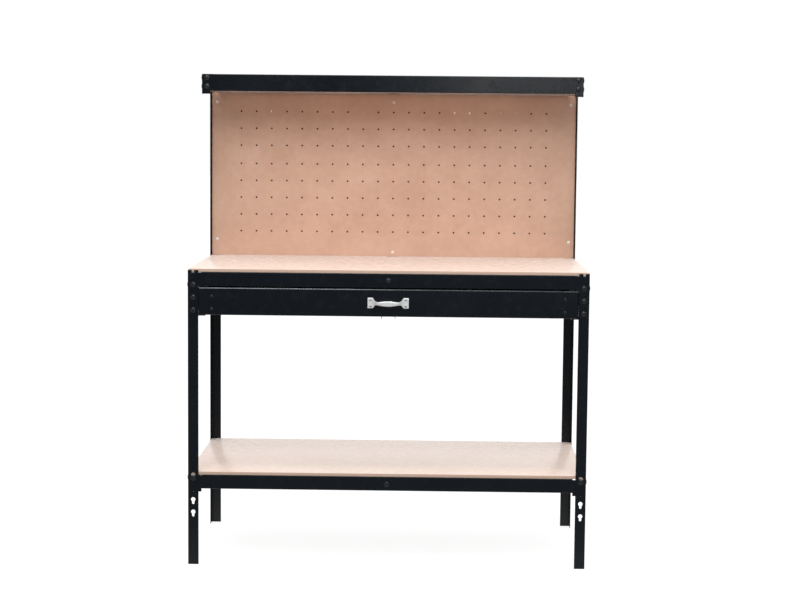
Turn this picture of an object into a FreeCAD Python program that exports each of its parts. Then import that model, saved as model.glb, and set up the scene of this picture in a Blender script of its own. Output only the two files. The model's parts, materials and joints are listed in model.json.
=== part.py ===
import FreeCAD, Part
import math
import os
import Sketcher
from FreeCAD import Vector

# Steel workbench with a drawer, two board shelves, a pegboard and a top tray.
# Millimetres.  X runs to the right, Y to the rear and Z up.  The origin lies on the floor, under
# the middle of the box that holds the whole bench with its handle and its screw ends.

DIMENSIONS = {
    # Whole bench, over its uprights
    "bench_width": 1200.0,
    "bench_depth": 600.0,
    "top_height": 1485.0,
    # Slotted angle uprights
    "leg_height": 894.0,
    "leg_flange": 32.0,
    "leg_wall": 1.5,
    "leg_bend": 2.5,
    "leg_joint_gap": 0.3,
    "slot_inset": 16.0,
    "slot_pitch": 38.1,
    "slot_count": 4,
    "slot_head_radius": 6.6,
    "slot_tail_radius": 3.7,
    "slot_spacing": 10.9,
    "low_slot_height": 146.5,
    "top_slot_depth": 9.5,
    # Folded beams under the worktop and the lower shelf
    "beam_height": 43.0,
    "beam_wall": 1.2,
    "beam_bend": 2.2,
    "beam_flange": 25.0,
    "beam_lip": 12.0,
    "beam_tab": 38.0,
    "beam_tab_drop": 9.0,
    "apron_tab_drop": 3.0,
    "beam_tab_inset": 3.0,
    "beam_end_gap": 0.3,
    "apron_drop": 5.0,
    "shelf_beam_top": 275.0,
    # Boards
    "board_thickness": 9.0,
    "board_gap": 1.0,
    # Braces from front to rear
    "brace_width": 40.0,
    "brace_height": 20.0,
    "brace_tab": 34.0,
    "shelf_brace_drop": 24.0,
    # Top tray
    "tray_depth": 250.0,
    "tray_beam_height": 53.0,
    "tray_beam_flange": 12.0,
    "tray_beam_lip": 8.0,
    "tray_notch": 30.0,
    "corner_height": 62.0,
    "corner_flange": 27.5,
    "corner_slot_drop": 14.9,
    # Pegboard and what holds it
    "pegboard_thickness": 4.5,
    "pegboard_side_gap": 2.5,
    "pegboard_foot_gap": 0.2,
    "pegboard_head_gap": 0.3,
    "peg_hole_radius": 3.0,
    "peg_column_pitch": 50.0,
    "peg_column_count": 21,
    "peg_row_pitch": 55.4,
    "peg_upper_rows": 3,
    "peg_lower_rows": 5,
    "peg_row_step": 60.0,
    "peg_top_drop": 60.7,
    "peg_screw_inset": 20.0,
    "peg_screw_drop": 31.7,
    "peg_screw_rise": 52.3,
    "peg_centre_drop": 27.7,
    "peg_centre_rise": 13.3,
    "strut_width": 36.0,
    "strut_lip": 6.0,
    "strut_overlap": 44.0,
    "strut_drop": 5.0,
    "plate_width": 27.0,
    "plate_wall": 2.0,
    "plate_below": 92.0,
    "plate_above": 80.0,
    # Drawer hangers
    "hanger_height": 83.0,
    "hanger_gap": 6.0,
    "hanger_clear": 1.0,
    "hanger_lip": 21.0,
    # Roller runners
    "runner_gap": 12.5,
    "runner_wall": 1.2,
    "runner_bend": 2.0,
    "runner_height": 34.0,
    "runner_rise": 26.0,
    "runner_flange": 9.2,
    "runner_start": 20.0,
    "runner_length": 400.0,
    "slide_height": 26.0,
    "slide_flange": 9.5,
    "slide_gap": 1.0,
    "slide_end_gap": 5.0,
    "roller_radius": 10.0,
    "roller_width": 5.8,
    "roller_inset": 14.0,
    "roller_clearance": 0.3,
    "roller_shoulder": 1.5,
    "pin_radius": 3.0,
    "pin_shoulder_radius": 4.5,
    "pin_clearance": 0.05,
    "pin_head_radius": 5.0,
    "pin_head_height": 0.8,
    "rivet_radius": 2.0,
    "rivet_head_radius": 4.5,
    "rivet_head_height": 0.9,
    "rivet_level": 17.0,
    "rivet_front": 40.0,
    "rivet_rear": 12.0,
    "slide_rivet_front": 10.0,
    "slide_rivet_rear": 31.0,
    # Drawer
    "drawer_height": 82.0,
    "drawer_top_gap": 4.0,
    "drawer_end_gap": 1.0,
    "drawer_proud": 2.0,
    "drawer_sheet": 1.0,
    "drawer_return": 8.0,
    "drawer_bend": 3.0,
    "drawer_depth": 400.0,
    "drawer_side_height": 68.0,
    "drawer_side_rise": 6.0,
    "drawer_side_bend": 2.0,
    "drawer_ledge": 12.0,
    "drawer_hem": 5.0,
    "drawer_tab": 40.0,
    "drawer_back_tab": 15.0,
    "drawer_fit": 0.3,
    "drawer_bolt_inset": 28.5,
    "drawer_bolt_drop": 26.0,
    "stiffener_width": 42.0,
    "stiffener_height": 16.0,
    # Bow handle
    "handle_length": 123.0,
    "handle_height": 32.0,
    "handle_foot": 18.0,
    "handle_foot_wall": 3.0,
    "handle_foot_round": 3.0,
    "handle_reach": 30.0,
    "handle_bar": 6.0,
    "handle_round": 1.4,
    "grip_height": 16.0,
    "neck_height": 10.0,
    "neck_run": 16.0,
    "handle_screw_spacing": 19.0,
    # Bolts of the frame
    "bolt_radius": 3.0,
    "bolt_clearance": 0.5,
    "bolt_length": 11.5,
    "bolt_head_radius": 8.5,
    "bolt_head_height": 3.0,
    "nut_flats": 10.0,
    "nut_height": 5.0,
    "thread_gap": 0.05,
    # Small screws of the pegboard and the drawer
    "screw_radius": 2.5,
    "screw_clearance": 0.3,
    "screw_head_radius": 5.0,
    "screw_head_height": 2.4,
    "screw_nut_flats": 8.0,
    "screw_nut_height": 3.6,
    "peg_screw_length": 12.5,
    "drawer_screw_length": 8.0,
    "handle_screw_radius": 2.0,
    "handle_screw_length": 10.0,
    "handle_screw_head_radius": 3.5,
    "handle_screw_head_height": 1.8,
    "handle_nut_flats": 7.0,
    "handle_nut_height": 3.2,
}

doc = FreeCAD.newDocument("Workbench")
sheet = doc.addObject("Spreadsheet::Sheet", "Dims")
for row, (alias, number) in enumerate(DIMENSIONS.items(), start=1):
    sheet.set(f"A{row}", alias)
    sheet.set(f"B{row}", str(number))
    sheet.setAlias(f"B{row}", alias)
doc.recompute()


class Size:
    """A length that carries its value and its formula in the sheet."""

    def __init__(self, value, formula):
        self.value = float(value)
        self.formula = formula

    @staticmethod
    def of(item):
        """Return the item as a Size; a plain number is its own formula."""
        return item if isinstance(item, Size) else Size(item, f"({item})")

    def joined(self, other, symbol, value):
        """Return a new Size for two operands and their result."""
        return Size(value, f"({self.formula} {symbol} {other.formula})")

    def __add__(self, other):
        other = Size.of(other)
        return self.joined(other, "+", self.value + other.value)

    def __radd__(self, other):
        return Size.of(other) + self

    def __sub__(self, other):
        other = Size.of(other)
        return self.joined(other, "-", self.value - other.value)

    def __rsub__(self, other):
        return Size.of(other) - self

    def __mul__(self, other):
        other = Size.of(other)
        return self.joined(other, "*", self.value * other.value)

    __rmul__ = __mul__

    def __truediv__(self, other):
        other = Size.of(other)
        return self.joined(other, "/", self.value / other.value)

    def __neg__(self):
        return self * -1

    def __float__(self):
        return self.value


def dim(alias):
    """Return the Size that a cell of the sheet holds."""
    return Size(sheet.get(alias), f"Dims.{alias}")


def bind(target, path, size):
    """Tie a property or constraint to the sheet."""
    target.setExpression(path, Size.of(size).formula)


def place(target, at):
    """Put an object where three Sizes say."""
    x, y, z = (Size.of(item) for item in at)
    target.Placement.Base = Vector(x.value, y.value, z.value)
    bind(target, "Placement.Base.x", x)
    bind(target, "Placement.Base.y", y)
    bind(target, "Placement.Base.z", z)


# Outlines that a sketch can hold

def pin_point(sketch, geo, end, u, v):
    """Fix one point of a sketch by its two coordinates."""
    for kind, size in (("DistanceX", Size.of(u)), ("DistanceY", Size.of(v))):
        index = sketch.addConstraint(Sketcher.Constraint(kind, -1, 1, geo, end, size.value))
        bind(sketch, f"Constraints[{index}]", size)


def fix_radius(sketch, geo, radius):
    """Fix the radius of a circle or an arc."""
    radius = Size.of(radius)
    index = sketch.addConstraint(Sketcher.Constraint("Radius", geo, radius.value))
    bind(sketch, f"Constraints[{index}]", radius)


class Polygon:
    """A closed outline of straight runs along the axes; a corner may be rounded.

    Each corner is (u, v) or (u, v, radius).
    """

    def __init__(self, corners):
        self.corners = [tuple(Size.of(item) for item in corner) for corner in corners]

    def heading(self, start, end):
        """Return the unit step from one corner towards another."""
        run = complex(end[0].value - start[0].value, end[1].value - start[1].value)
        return run / abs(run)

    def draw(self, sketch):
        """Add the outline to a sketch, fully constrained."""
        count = len(self.corners)
        entries, exits, arcs = [], [], {}
        for index, corner in enumerate(self.corners):
            if len(corner) < 3:
                entries.append(corner[:2])
                exits.append(corner[:2])
                continue
            radius = corner[2]
            back = self.heading(corner, self.corners[index - 1])
            ahead = self.heading(corner, self.corners[(index + 1) % count])
            entries.append(self.moved(corner, radius, back))
            exits.append(self.moved(corner, radius, ahead))
            centre = self.moved(corner, radius, back + ahead)
            arcs[index] = (centre, radius)
        runs = []
        for index in range(count):
            start, end = exits[index], entries[(index + 1) % count]
            geo = sketch.addGeometry(Part.LineSegment(self.vector(start), self.vector(end)), False)
            pin_point(sketch, geo, 1, *start)
            if (index + 1) % count in arcs:
                pin_point(sketch, geo, 2, *end)
            runs.append(geo)
        for index, run in enumerate(runs):
            if index in arcs:
                self.draw_arc(sketch, entries[index], exits[index], arcs[index], runs[index - 1], run)
            else:
                sketch.addConstraint(Sketcher.Constraint("Coincident", runs[index - 1], 2, run, 1))

    def moved(self, corner, radius, step):
        """Return the corner's point, moved by the radius along a step of whole axes."""
        return (corner[0] + radius * round(step.real), corner[1] + radius * round(step.imag))

    def vector(self, point):
        """Return a sketch point as a vector."""
        return Vector(Size.of(point[0]).value, Size.of(point[1]).value, 0)

    def draw_arc(self, sketch, entry, leave, arc, before, after):
        """Add one rounded corner between two runs."""
        centre, radius = arc
        middle = self.vector(centre)
        first = self.vector(entry) - middle
        last = self.vector(leave) - middle
        turn = first.x * last.y - first.y * last.x
        if turn < 0:
            first, last = last, first
        start = math.atan2(first.y, first.x)
        sweep = math.atan2(last.y, last.x)
        if sweep < start:
            sweep += 2 * math.pi
        circle = Part.Circle(middle, Vector(0, 0, 1), radius.value)
        geo = sketch.addGeometry(Part.ArcOfCircle(circle, start, sweep), False)
        head, tail = (1, 2) if turn > 0 else (2, 1)
        sketch.addConstraint(Sketcher.Constraint("Coincident", before, 2, geo, head))
        sketch.addConstraint(Sketcher.Constraint("Coincident", geo, tail, after, 1))
        fix_radius(sketch, geo, radius)


class Circle:
    """A round hole."""

    def __init__(self, u, v, radius):
        self.u, self.v, self.radius = Size.of(u), Size.of(v), Size.of(radius)

    def draw(self, sketch):
        """Add the circle to a sketch, fully constrained."""
        centre = Vector(self.u.value, self.v.value, 0)
        geo = sketch.addGeometry(Part.Circle(centre, Vector(0, 0, 1), self.radius.value), False)
        pin_point(sketch, geo, 3, self.u, self.v)
        fix_radius(sketch, geo, self.radius)


class Keyhole:
    """A keyhole slot: a round head above a narrow tail with upright sides."""

    def __init__(self, u, bottom):
        self.u = Size.of(u)
        self.tail_v = bottom + dim("slot_tail_radius")
        self.head_v = self.tail_v + dim("slot_spacing")

    def draw(self, sketch):
        """Add the slot to a sketch: the arc of its head, the cup of its tail and two upright lines."""
        head, tail = dim("slot_head_radius"), dim("slot_tail_radius")
        top = Vector(self.u.value, self.head_v.value, 0)
        low = Vector(self.u.value, self.tail_v.value, 0)
        normal = Vector(0, 0, 1)
        mouth = math.asin(tail.value / head.value)
        shoulder = top - Vector(0, head.value * math.cos(mouth), 0)
        reach = Vector(tail.value, 0, 0)
        circle = Part.Circle(top, normal, head.value)
        arch = Part.ArcOfCircle(circle, mouth - math.pi / 2, 3 * math.pi / 2 - mouth)
        left = Part.LineSegment(shoulder - reach, low - reach)
        cup = Part.ArcOfCircle(Part.Circle(low, normal, tail.value), math.pi, 2 * math.pi)
        right = Part.LineSegment(low + reach, shoulder + reach)
        arch, left, cup, right = (sketch.addGeometry(item, False) for item in (arch, left, cup, right))
        sketch.addConstraint(Sketcher.Constraint("Coincident", arch, 2, left, 1))
        sketch.addConstraint(Sketcher.Constraint("Tangent", left, 2, cup, 1))
        sketch.addConstraint(Sketcher.Constraint("Tangent", cup, 2, right, 1))
        sketch.addConstraint(Sketcher.Constraint("Coincident", right, 2, arch, 1))
        sketch.addConstraint(Sketcher.Constraint("Vertical", left))
        sketch.addConstraint(Sketcher.Constraint("Vertical", right))
        for arc, radius, level in ((arch, head, self.head_v), (cup, tail, self.tail_v)):
            fix_radius(sketch, arc, radius)
            pin_point(sketch, arc, 3, self.u, level)


def rectangle(u_low, v_low, u_high, v_high):
    """Return a plain rectangle between two corners."""
    return Polygon([(u_low, v_low), (u_high, v_low), (u_high, v_high), (u_low, v_high)])


def rounded(u_low, v_low, u_high, v_high, radius):
    """Return a rectangle with four round corners."""
    return Polygon([(u_low, v_low, radius), (u_high, v_low, radius),
                    (u_high, v_high, radius), (u_low, v_high, radius)])


class Piece:
    """One body of the bench, with a label of its own and sketches on its own origin planes."""

    labels = []

    def __init__(self, label, at=(0, 0, 0)):
        self.label = label
        self.body = doc.addObject("PartDesign::Body", label)
        self.body.Label = label
        self.features = 0
        place(self.body, at)
        Piece.labels.append(label)

    def datum(self, role):
        """Return an origin plane or axis of the body by its role."""
        return next(item for item in self.body.Origin.OriginFeatures if item.Role == role)

    def sketch(self, plane, level, outlines):
        """Draw outlines on a plane at a level along the axis that the plane faces."""
        self.features += 1
        name = f"{self.label}_sketch_{self.features}"
        sketch = self.body.newObject("Sketcher::SketchObject", name)
        sketch.AttachmentSupport = [(self.datum(f"{plane}_Plane"), "")]
        sketch.MapMode = "FlatFace"
        offset = -Size.of(level) if plane == "XZ" else Size.of(level)
        sketch.AttachmentOffset.Base = Vector(0, 0, offset.value)
        bind(sketch, "AttachmentOffset.Base.z", offset)
        for outline in outlines:
            outline.draw(sketch)
        return sketch

    def pad(self, plane, start, end, *outlines):
        """Raise outlines from one level to another, along the positive axis."""
        start, end = Size.of(start), Size.of(end)
        sketch = self.sketch(plane, start, outlines)
        feature = self.body.newObject("PartDesign::Pad", f"{self.label}_pad_{self.features}")
        feature.Profile = sketch
        feature.Reversed = plane == "XZ"
        bind(feature, "Length", end - start)
        return self.finished(feature)

    def cut(self, plane, start, end, *outlines):
        """Cut outlines away between two levels, along the positive axis."""
        start, end = Size.of(start), Size.of(end)
        before = self.volume()
        sketch = self.sketch(plane, start, outlines)
        feature = self.body.newObject("PartDesign::Pocket", f"{self.label}_cut_{self.features}")
        feature.Profile = sketch
        feature.Reversed = plane != "XZ"
        bind(feature, "Length", end - start)
        self.finished(feature)
        if self.volume() >= before:
            raise RuntimeError(f"{feature.Name} cuts nothing")
        return feature

    def pierce(self, plane, face, inward, wall, *outlines):
        """Cut outlines through a wall that starts at a face and runs inwards."""
        middle = face + inward * wall / 2
        return self.cut(plane, middle - wall, middle + wall, *outlines)

    def loft(self, sections):
        """Join sections across the X axis, each a level and an outline, by flat steps."""
        sketches = [self.sketch("YZ", level, [outline]) for level, outline in sections]
        feature = self.body.newObject("PartDesign::AdditiveLoft", f"{self.label}_loft_{self.features}")
        feature.Profile = sketches[0]
        feature.Sections = sketches[1:]
        feature.Ruled = True
        return self.finished(feature)

    def repeat(self, feature, axis, pitch, count):
        """Repeat a feature along an axis of the body."""
        pattern = self.body.newObject("PartDesign::LinearPattern", f"{feature.Name}_row")
        pattern.Originals = [feature]
        pattern.Direction = (self.datum(f"{axis}_Axis"), [""])
        bind(pattern, "Length", pitch * (count - 1))
        bind(pattern, "Occurrences", count)
        return self.finished(pattern)

    def fillet(self, radius, wanted):
        """Round the edges that a test picks out of the body so far."""
        base = self.body.Tip
        edges = [f"Edge{index}" for index, edge in enumerate(base.Shape.Edges, start=1) if wanted(edge)]
        if not edges:
            raise RuntimeError(f"{self.label} has no edge to round")
        feature = self.body.newObject("PartDesign::Fillet", f"{self.label}_fillet_{self.features}")
        feature.Base = (base, edges)
        bind(feature, "Radius", radius)
        return self.finished(feature)

    def finished(self, feature):
        """Make a feature the tip of the body and work it out."""
        self.body.Tip = feature
        doc.recompute()
        return feature

    def volume(self):
        """Return the volume of the body so far."""
        tip = self.body.Tip
        return tip.Shape.Volume if tip is not None and not tip.Shape.isNull() else 0.0


# Places that several pieces share

wall = dim("leg_wall")
sheet_wall = dim("beam_wall")
half_width = dim("bench_width") / 2
front_reach = dim("drawer_proud") + dim("handle_reach")
rear_reach = dim("peg_screw_length") - dim("pegboard_thickness") - wall
front = (front_reach - rear_reach - dim("bench_depth")) / 2
rear = front + dim("bench_depth")
inner_front = front + wall
inner_rear = rear - wall
inner_side = half_width - wall
slot_x = half_width - dim("slot_inset")
bolt_hole = dim("bolt_radius") + dim("bolt_clearance")
screw_hole = dim("screw_radius") + dim("screw_clearance")

high_slot = dim("leg_height") - dim("top_slot_depth") - dim("slot_pitch") * (dim("slot_count") - 1)
hanger_bolts = [high_slot + dim("slot_tail_radius"),
                high_slot + dim("slot_tail_radius") + dim("slot_pitch")]
apron_bolt = hanger_bolts[1] + dim("slot_pitch")
shelf_bolt = (dim("low_slot_height") + dim("slot_pitch") * (dim("slot_count") - 1)
              + dim("slot_tail_radius"))
brace_bolt = dim("shelf_beam_top") - dim("shelf_brace_drop")

apron_top = dim("leg_height") - dim("apron_drop")
apron_bottom = apron_top - dim("beam_height")
apron_middle = apron_bottom + dim("beam_height") / 2
worktop = apron_top + dim("board_thickness")

tray_top = dim("top_height")
tray_bottom = tray_top - dim("tray_beam_height")
tray_front = rear - dim("tray_depth")
tray_slots = [tray_top - dim("corner_slot_drop") - dim("slot_pitch"), tray_top - dim("corner_slot_drop")]
tray_bolts = [tray_slots[0] + dim("slot_tail_radius") + dim("slot_spacing"),
              tray_slots[1] + dim("slot_tail_radius")]
strut_bolt = tray_bottom + dim("tray_beam_height") / 2

peg_foot = worktop + dim("pegboard_foot_gap")
peg_head = tray_bottom - dim("pegboard_head_gap")
peg_screw_x = half_width - dim("peg_screw_inset")
peg_corner_levels = [peg_foot + dim("peg_screw_rise"), peg_head - dim("peg_screw_drop")]
peg_centre_levels = [peg_foot + dim("peg_centre_rise"), peg_head - dim("peg_centre_drop")]

hanger_top = apron_bottom - dim("hanger_gap")
hanger_bottom = hanger_top - dim("hanger_height")
hanger_x = half_width - dim("leg_flange") + dim("hanger_clear")
runner_x = hanger_x - dim("runner_wall")
runner_bottom = hanger_bottom + dim("runner_rise")
runner_front = front + dim("runner_start")
runner_rear = runner_front + dim("runner_length")
runner_rivets = [runner_front + dim("rivet_front"), runner_rear - dim("rivet_rear")]
rivet_level = runner_bottom + dim("rivet_level")
rivet_hole = dim("rivet_radius") + dim("pin_clearance")
pin_hole = dim("pin_radius") + dim("pin_clearance")

drawer_face = front - dim("drawer_proud")
drawer_top = apron_bottom - dim("drawer_top_gap")
drawer_bottom = drawer_top - dim("drawer_height")
drawer_middle = drawer_bottom + dim("drawer_height") / 2
drawer_half = half_width - dim("leg_flange") - dim("drawer_end_gap")
drawer_side_x = hanger_x - dim("runner_gap")
drawer_side_bottom = drawer_bottom + dim("drawer_side_rise")
drawer_floor = drawer_side_bottom + dim("drawer_sheet")
drawer_inside = drawer_face + dim("drawer_sheet")
drawer_rear = front + dim("drawer_depth")
drawer_bolt_x = drawer_side_x - dim("drawer_bolt_inset")
drawer_bolts = [drawer_top - dim("drawer_bolt_drop") - dim("slot_pitch"),
                drawer_top - dim("drawer_bolt_drop")]

roller_x = runner_x - dim("roller_shoulder") - dim("roller_clearance") - dim("roller_width") / 2
slide_x = drawer_side_x + dim("runner_wall")
slide_front = drawer_face + dim("drawer_return") + dim("slide_gap")
slide_rear = drawer_rear - dim("slide_end_gap")
slide_top = runner_bottom + dim("slide_height") + dim("slide_gap")
slide_rivets = [slide_front + dim("slide_rivet_front"), slide_rear - dim("slide_rivet_rear")]
cabinet_roller_y = runner_front + dim("roller_inset")
cabinet_roller_z = slide_top - dim("runner_wall") - dim("roller_clearance") - dim("roller_radius")
drawer_roller_y = slide_rear - dim("roller_inset")
drawer_roller_z = runner_bottom + dim("runner_wall") + dim("roller_clearance") + dim("roller_radius")

handle_screw_x = dim("handle_length") / 2 - dim("handle_foot") / 2
handle_screws = [drawer_middle - dim("handle_screw_spacing") / 2,
                 drawer_middle + dim("handle_screw_spacing") / 2]
handle_hole = dim("handle_screw_radius") + dim("screw_clearance")

SIDES = (("left", -1), ("right", 1))
ENDS = (("front", -1), ("rear", 1))


# Sections of folded sheet

def angle(u, v, toward_u, toward_v, reach_u, reach_v, thick, bend):
    """Return an L section that starts at its outer corner and runs two ways."""

    def at(along_u, along_v, *radius):
        return (u + toward_u * Size.of(along_u), v + toward_v * Size.of(along_v), *radius)

    return Polygon([
        at(0, 0, bend), at(reach_u, 0), at(reach_u, thick),
        at(thick, thick, bend - thick), at(thick, reach_v), at(0, reach_v),
    ])


def channel(face, inward, height, low, high, thick, bend):
    """Return a C section with its web face outside and its two flanges inwards."""

    def at(depth, rise, *radius):
        return (face + inward * Size.of(depth), rise, *radius)

    return Polygon([
        at(0, 0, bend), at(low, 0), at(low, thick), at(thick, thick, bend - thick),
        at(thick, height - thick, bend - thick), at(high, height - thick), at(high, height),
        at(0, height, bend),
    ])


def trough(half, back, rim, thick, bend):
    """Return a U section about the v axis, closed at its back and open at its rim."""
    floor = back + thick if rim.value > back.value else back - thick
    return Polygon([
        (-half, rim), (-half, back, bend), (half, back, bend), (half, rim),
        (half - thick, rim), (half - thick, floor, bend - thick),
        (thick - half, floor, bend - thick), (thick - half, rim),
    ])


# Uprights

def build_angle_upright(label, side, end, edge, bottom, top, flange):
    """Build a plain angle at one corner of the bench; its body starts at its outer corner."""
    piece = Piece(label, (side * half_width, edge, bottom))
    section = angle(0, 0, -side, -end, flange, flange, wall, dim("leg_bend"))
    piece.pad("XY", 0, top - bottom, section)
    return piece


def slot_both_flanges(piece, side, end, bottoms, repeat=False):
    """Cut keyhole slots through both flanges of an upright."""
    flanges = (("XZ", -end, -side), ("YZ", -side, -end))
    for plane, inward, across in flanges:
        slots = [Keyhole(across * dim("slot_inset"), bottom) for bottom in bottoms]
        cut = piece.pierce(plane, Size.of(0), inward, wall, *slots)
        if repeat:
            piece.repeat(cut, "Z", dim("slot_pitch"), dim("slot_count"))


def build_leg(label, side, end):
    """Build one leg, from the floor to the worktop."""
    edge = front if end < 0 else rear
    leg = build_angle_upright(label, side, end, edge, Size.of(0), dim("leg_height"), dim("leg_flange"))
    slot_both_flanges(leg, side, end, [dim("low_slot_height"), high_slot], repeat=True)


def build_post(label, side):
    """Build one rear post that stands on a leg and carries the tray and the pegboard."""
    foot = dim("leg_height") + dim("leg_joint_gap")
    post = build_angle_upright(label, side, 1, rear, foot, tray_top, dim("leg_flange"))
    slot_both_flanges(post, side, 1, [bottom - foot for bottom in tray_slots])
    holes = [Circle(-side * dim("peg_screw_inset"), level - foot, screw_hole)
             for level in peg_corner_levels]
    post.pierce("XZ", Size.of(0), -1, wall, *holes)


def build_corner(label, side):
    """Build the front corner angle of the tray."""
    foot = tray_top - dim("corner_height")
    corner = build_angle_upright(label, side, -1, tray_front, foot, tray_top, dim("corner_flange"))
    slot_both_flanges(corner, side, -1, [bottom - foot for bottom in tray_slots])


def build_joint_plate(label, side):
    """Build the flat plate that ties a post to the leg below it."""
    plate = Piece(label, (side * slot_x, rear, dim("leg_height")))
    half = dim("plate_width") / 2
    plate.pad("XZ", 0, dim("plate_wall"), rectangle(-half, -dim("plate_below"), half, dim("plate_above")))
    holes = [Circle(0, level - dim("leg_height"), bolt_hole) for level in (hanger_bolts[1], apron_bolt)]
    screw_u = side * (peg_screw_x - slot_x)
    holes.append(Circle(screw_u, peg_corner_levels[0] - dim("leg_height"), screw_hole))
    plate.pierce("XZ", Size.of(0), 1, dim("plate_wall"), *holes)


# Beams and braces

def build_beam(label, along, face, inward, start, end, bottom, section, holes):
    """Build a folded beam; its flanges stop short of both ends, where the web makes two tabs.

    section is (height, bottom flange, top flange, bottom of the tabs, top of the tabs); holes are
    (place along the beam, level).
    """
    height, low, high, foot, head = section
    across, flat = ("YZ", "XZ") if along == "X" else ("XZ", "YZ")
    tab = dim("beam_tab")
    beam = Piece(label, (0, 0, bottom))
    profile = channel(face, inward, height, low, high, sheet_wall, dim("beam_bend"))
    beam.pad(across, start + tab, end - tab, profile)
    near, far = (face, face + sheet_wall) if inward > 0 else (face - sheet_wall, face)
    tabs = [rectangle(start, foot, start + tab, head), rectangle(end - tab, foot, end, head)]
    beam.pad(flat, near, far, *tabs)
    circles = [Circle(place_along, level - bottom, bolt_hole) for place_along, level in holes]
    beam.pierce(flat, face, inward, sheet_wall, *circles)


def build_frame_level(prefix, edge, bottom, section, levels, middles):
    """Build the four beams of one level.

    edge is the front face of the uprights at this level; middles are the heights of the holes at
    the middle of the front and the rear beam, or None where there is none.
    """
    end_x = half_width - dim("leg_bend") - dim("beam_end_gap")
    long_beams = (("front", edge + wall, 1, middles[0]), ("rear", inner_rear, -1, middles[1]))
    for name, face, inward, middle in long_beams:
        holes = [(side * slot_x, level) for _, side in SIDES for level in levels]
        if middle is not None:
            holes.append((Size.of(0), middle))
        build_beam(f"{prefix}_{name}_beam", "X", face, inward, -end_x, end_x, bottom, section, holes)
    start = edge + wall + sheet_wall + dim("beam_end_gap")
    end = inner_rear - sheet_wall - dim("beam_end_gap")
    holes = [(place_along, level) for place_along in (edge + dim("slot_inset"), rear - dim("slot_inset"))
             for level in levels]
    for name, side in SIDES:
        build_beam(f"{prefix}_side_beam_{name}", "Y", side * inner_side, -side, start, end,
                   bottom, section, holes)


def build_brace(label, top, bolt):
    """Build a brace that runs from the front beam to the rear beam, under their top flanges."""
    brace = Piece(label, (0, 0, top))
    near, far = inner_front + sheet_wall, inner_rear - sheet_wall
    inner_bend = dim("beam_bend") - sheet_wall
    half = dim("brace_width") / 2
    section = trough(half, -sheet_wall, -sheet_wall - dim("brace_height"), sheet_wall, dim("beam_bend"))
    brace.pad("XZ", near + inner_bend, far - inner_bend, section)
    tab = rectangle(-half, -dim("beam_bend") - dim("brace_tab"), half, -dim("beam_bend"))
    brace.pad("XZ", near, near + sheet_wall, tab)
    tab = rectangle(-half, -dim("beam_bend") - dim("brace_tab"), half, -dim("beam_bend"))
    brace.pad("XZ", far - sheet_wall, far, tab)
    for face, inward in ((near, 1), (far, -1)):
        brace.pierce("XZ", face, inward, sheet_wall, Circle(0, bolt - top, bolt_hole))


# Boards

def build_board(label, bottom, back):
    """Build a board that lies on the beams, inside the uprights and in front of what is behind it."""
    board = Piece(label, (0, 0, bottom))
    gap = dim("board_gap")
    side = inner_side - gap
    board.pad("XY", 0, dim("board_thickness"), rectangle(-side, inner_front + gap, side, back - gap))


def build_tray_board():
    """Build the board of the tray, notched at its corners around the bolts."""
    board = Piece("top_shelf_board", (0, 0, tray_bottom + sheet_wall))
    gap = dim("board_gap") + sheet_wall + wall
    side, near, far = half_width - gap, tray_front + gap, rear - gap
    notch = dim("tray_notch")
    side_cut, near_cut, far_cut = half_width - notch, tray_front + notch, rear - notch
    outline = Polygon([
        (-side_cut, near), (side_cut, near), (side_cut, near_cut), (side, near_cut),
        (side, far_cut), (side_cut, far_cut), (side_cut, far), (-side_cut, far),
        (-side_cut, far_cut), (-side, far_cut), (-side, near_cut), (-side_cut, near_cut),
    ])
    board.pad("XY", 0, dim("board_thickness"), outline)


# Pegboard

def peg_rows():
    """Return the heights of the rows of peg holes, from the top down."""
    level = peg_head - dim("peg_top_drop")
    rows = [level - dim("peg_row_pitch") * row for row in range(int(dim("peg_upper_rows").value))]
    level = rows[-1] - dim("peg_row_step")
    return rows + [level - dim("peg_row_pitch") * row for row in range(int(dim("peg_lower_rows").value))]


def build_pegboard():
    """Build the pegboard with its grid of holes and its six screw holes."""
    board = Piece("pegboard", (0, inner_rear, peg_foot))
    thick = dim("pegboard_thickness")
    side = inner_side - dim("pegboard_side_gap")
    board.pad("XZ", -thick, 0, rectangle(-side, 0, side, peg_head - peg_foot))
    screws = [Circle(sign * peg_screw_x, level - peg_foot, screw_hole)
              for _, sign in SIDES for level in peg_corner_levels]
    screws += [Circle(0, level - peg_foot, screw_hole) for level in peg_centre_levels]
    board.pierce("XZ", -thick, 1, thick, *screws)
    first = -dim("peg_column_pitch") * (dim("peg_column_count") - 1) / 2
    holes = [Circle(first, level - peg_foot, dim("peg_hole_radius")) for level in peg_rows()]
    column = board.pierce("XZ", -thick, 1, thick, *holes)
    board.repeat(column, "X", dim("peg_column_pitch"), dim("peg_column_count"))


def build_strut():
    """Build the upright channel behind the middle of the pegboard."""
    foot = apron_top - dim("strut_overlap")
    strut = Piece("pegboard_strut", (0, inner_rear, foot))
    half = dim("strut_width") / 2
    strut.pad("XY", 0, tray_top - dim("strut_drop") - foot,
              trough(half, Size.of(0), dim("strut_lip"), wall, dim("leg_bend")))
    holes = [Circle(0, level - foot, bolt_hole) for level in (apron_middle, strut_bolt)]
    holes += [Circle(0, level - foot, screw_hole) for level in peg_centre_levels]
    strut.pierce("XZ", Size.of(0), 1, wall, *holes)


# Drawer hangers and runners

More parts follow.
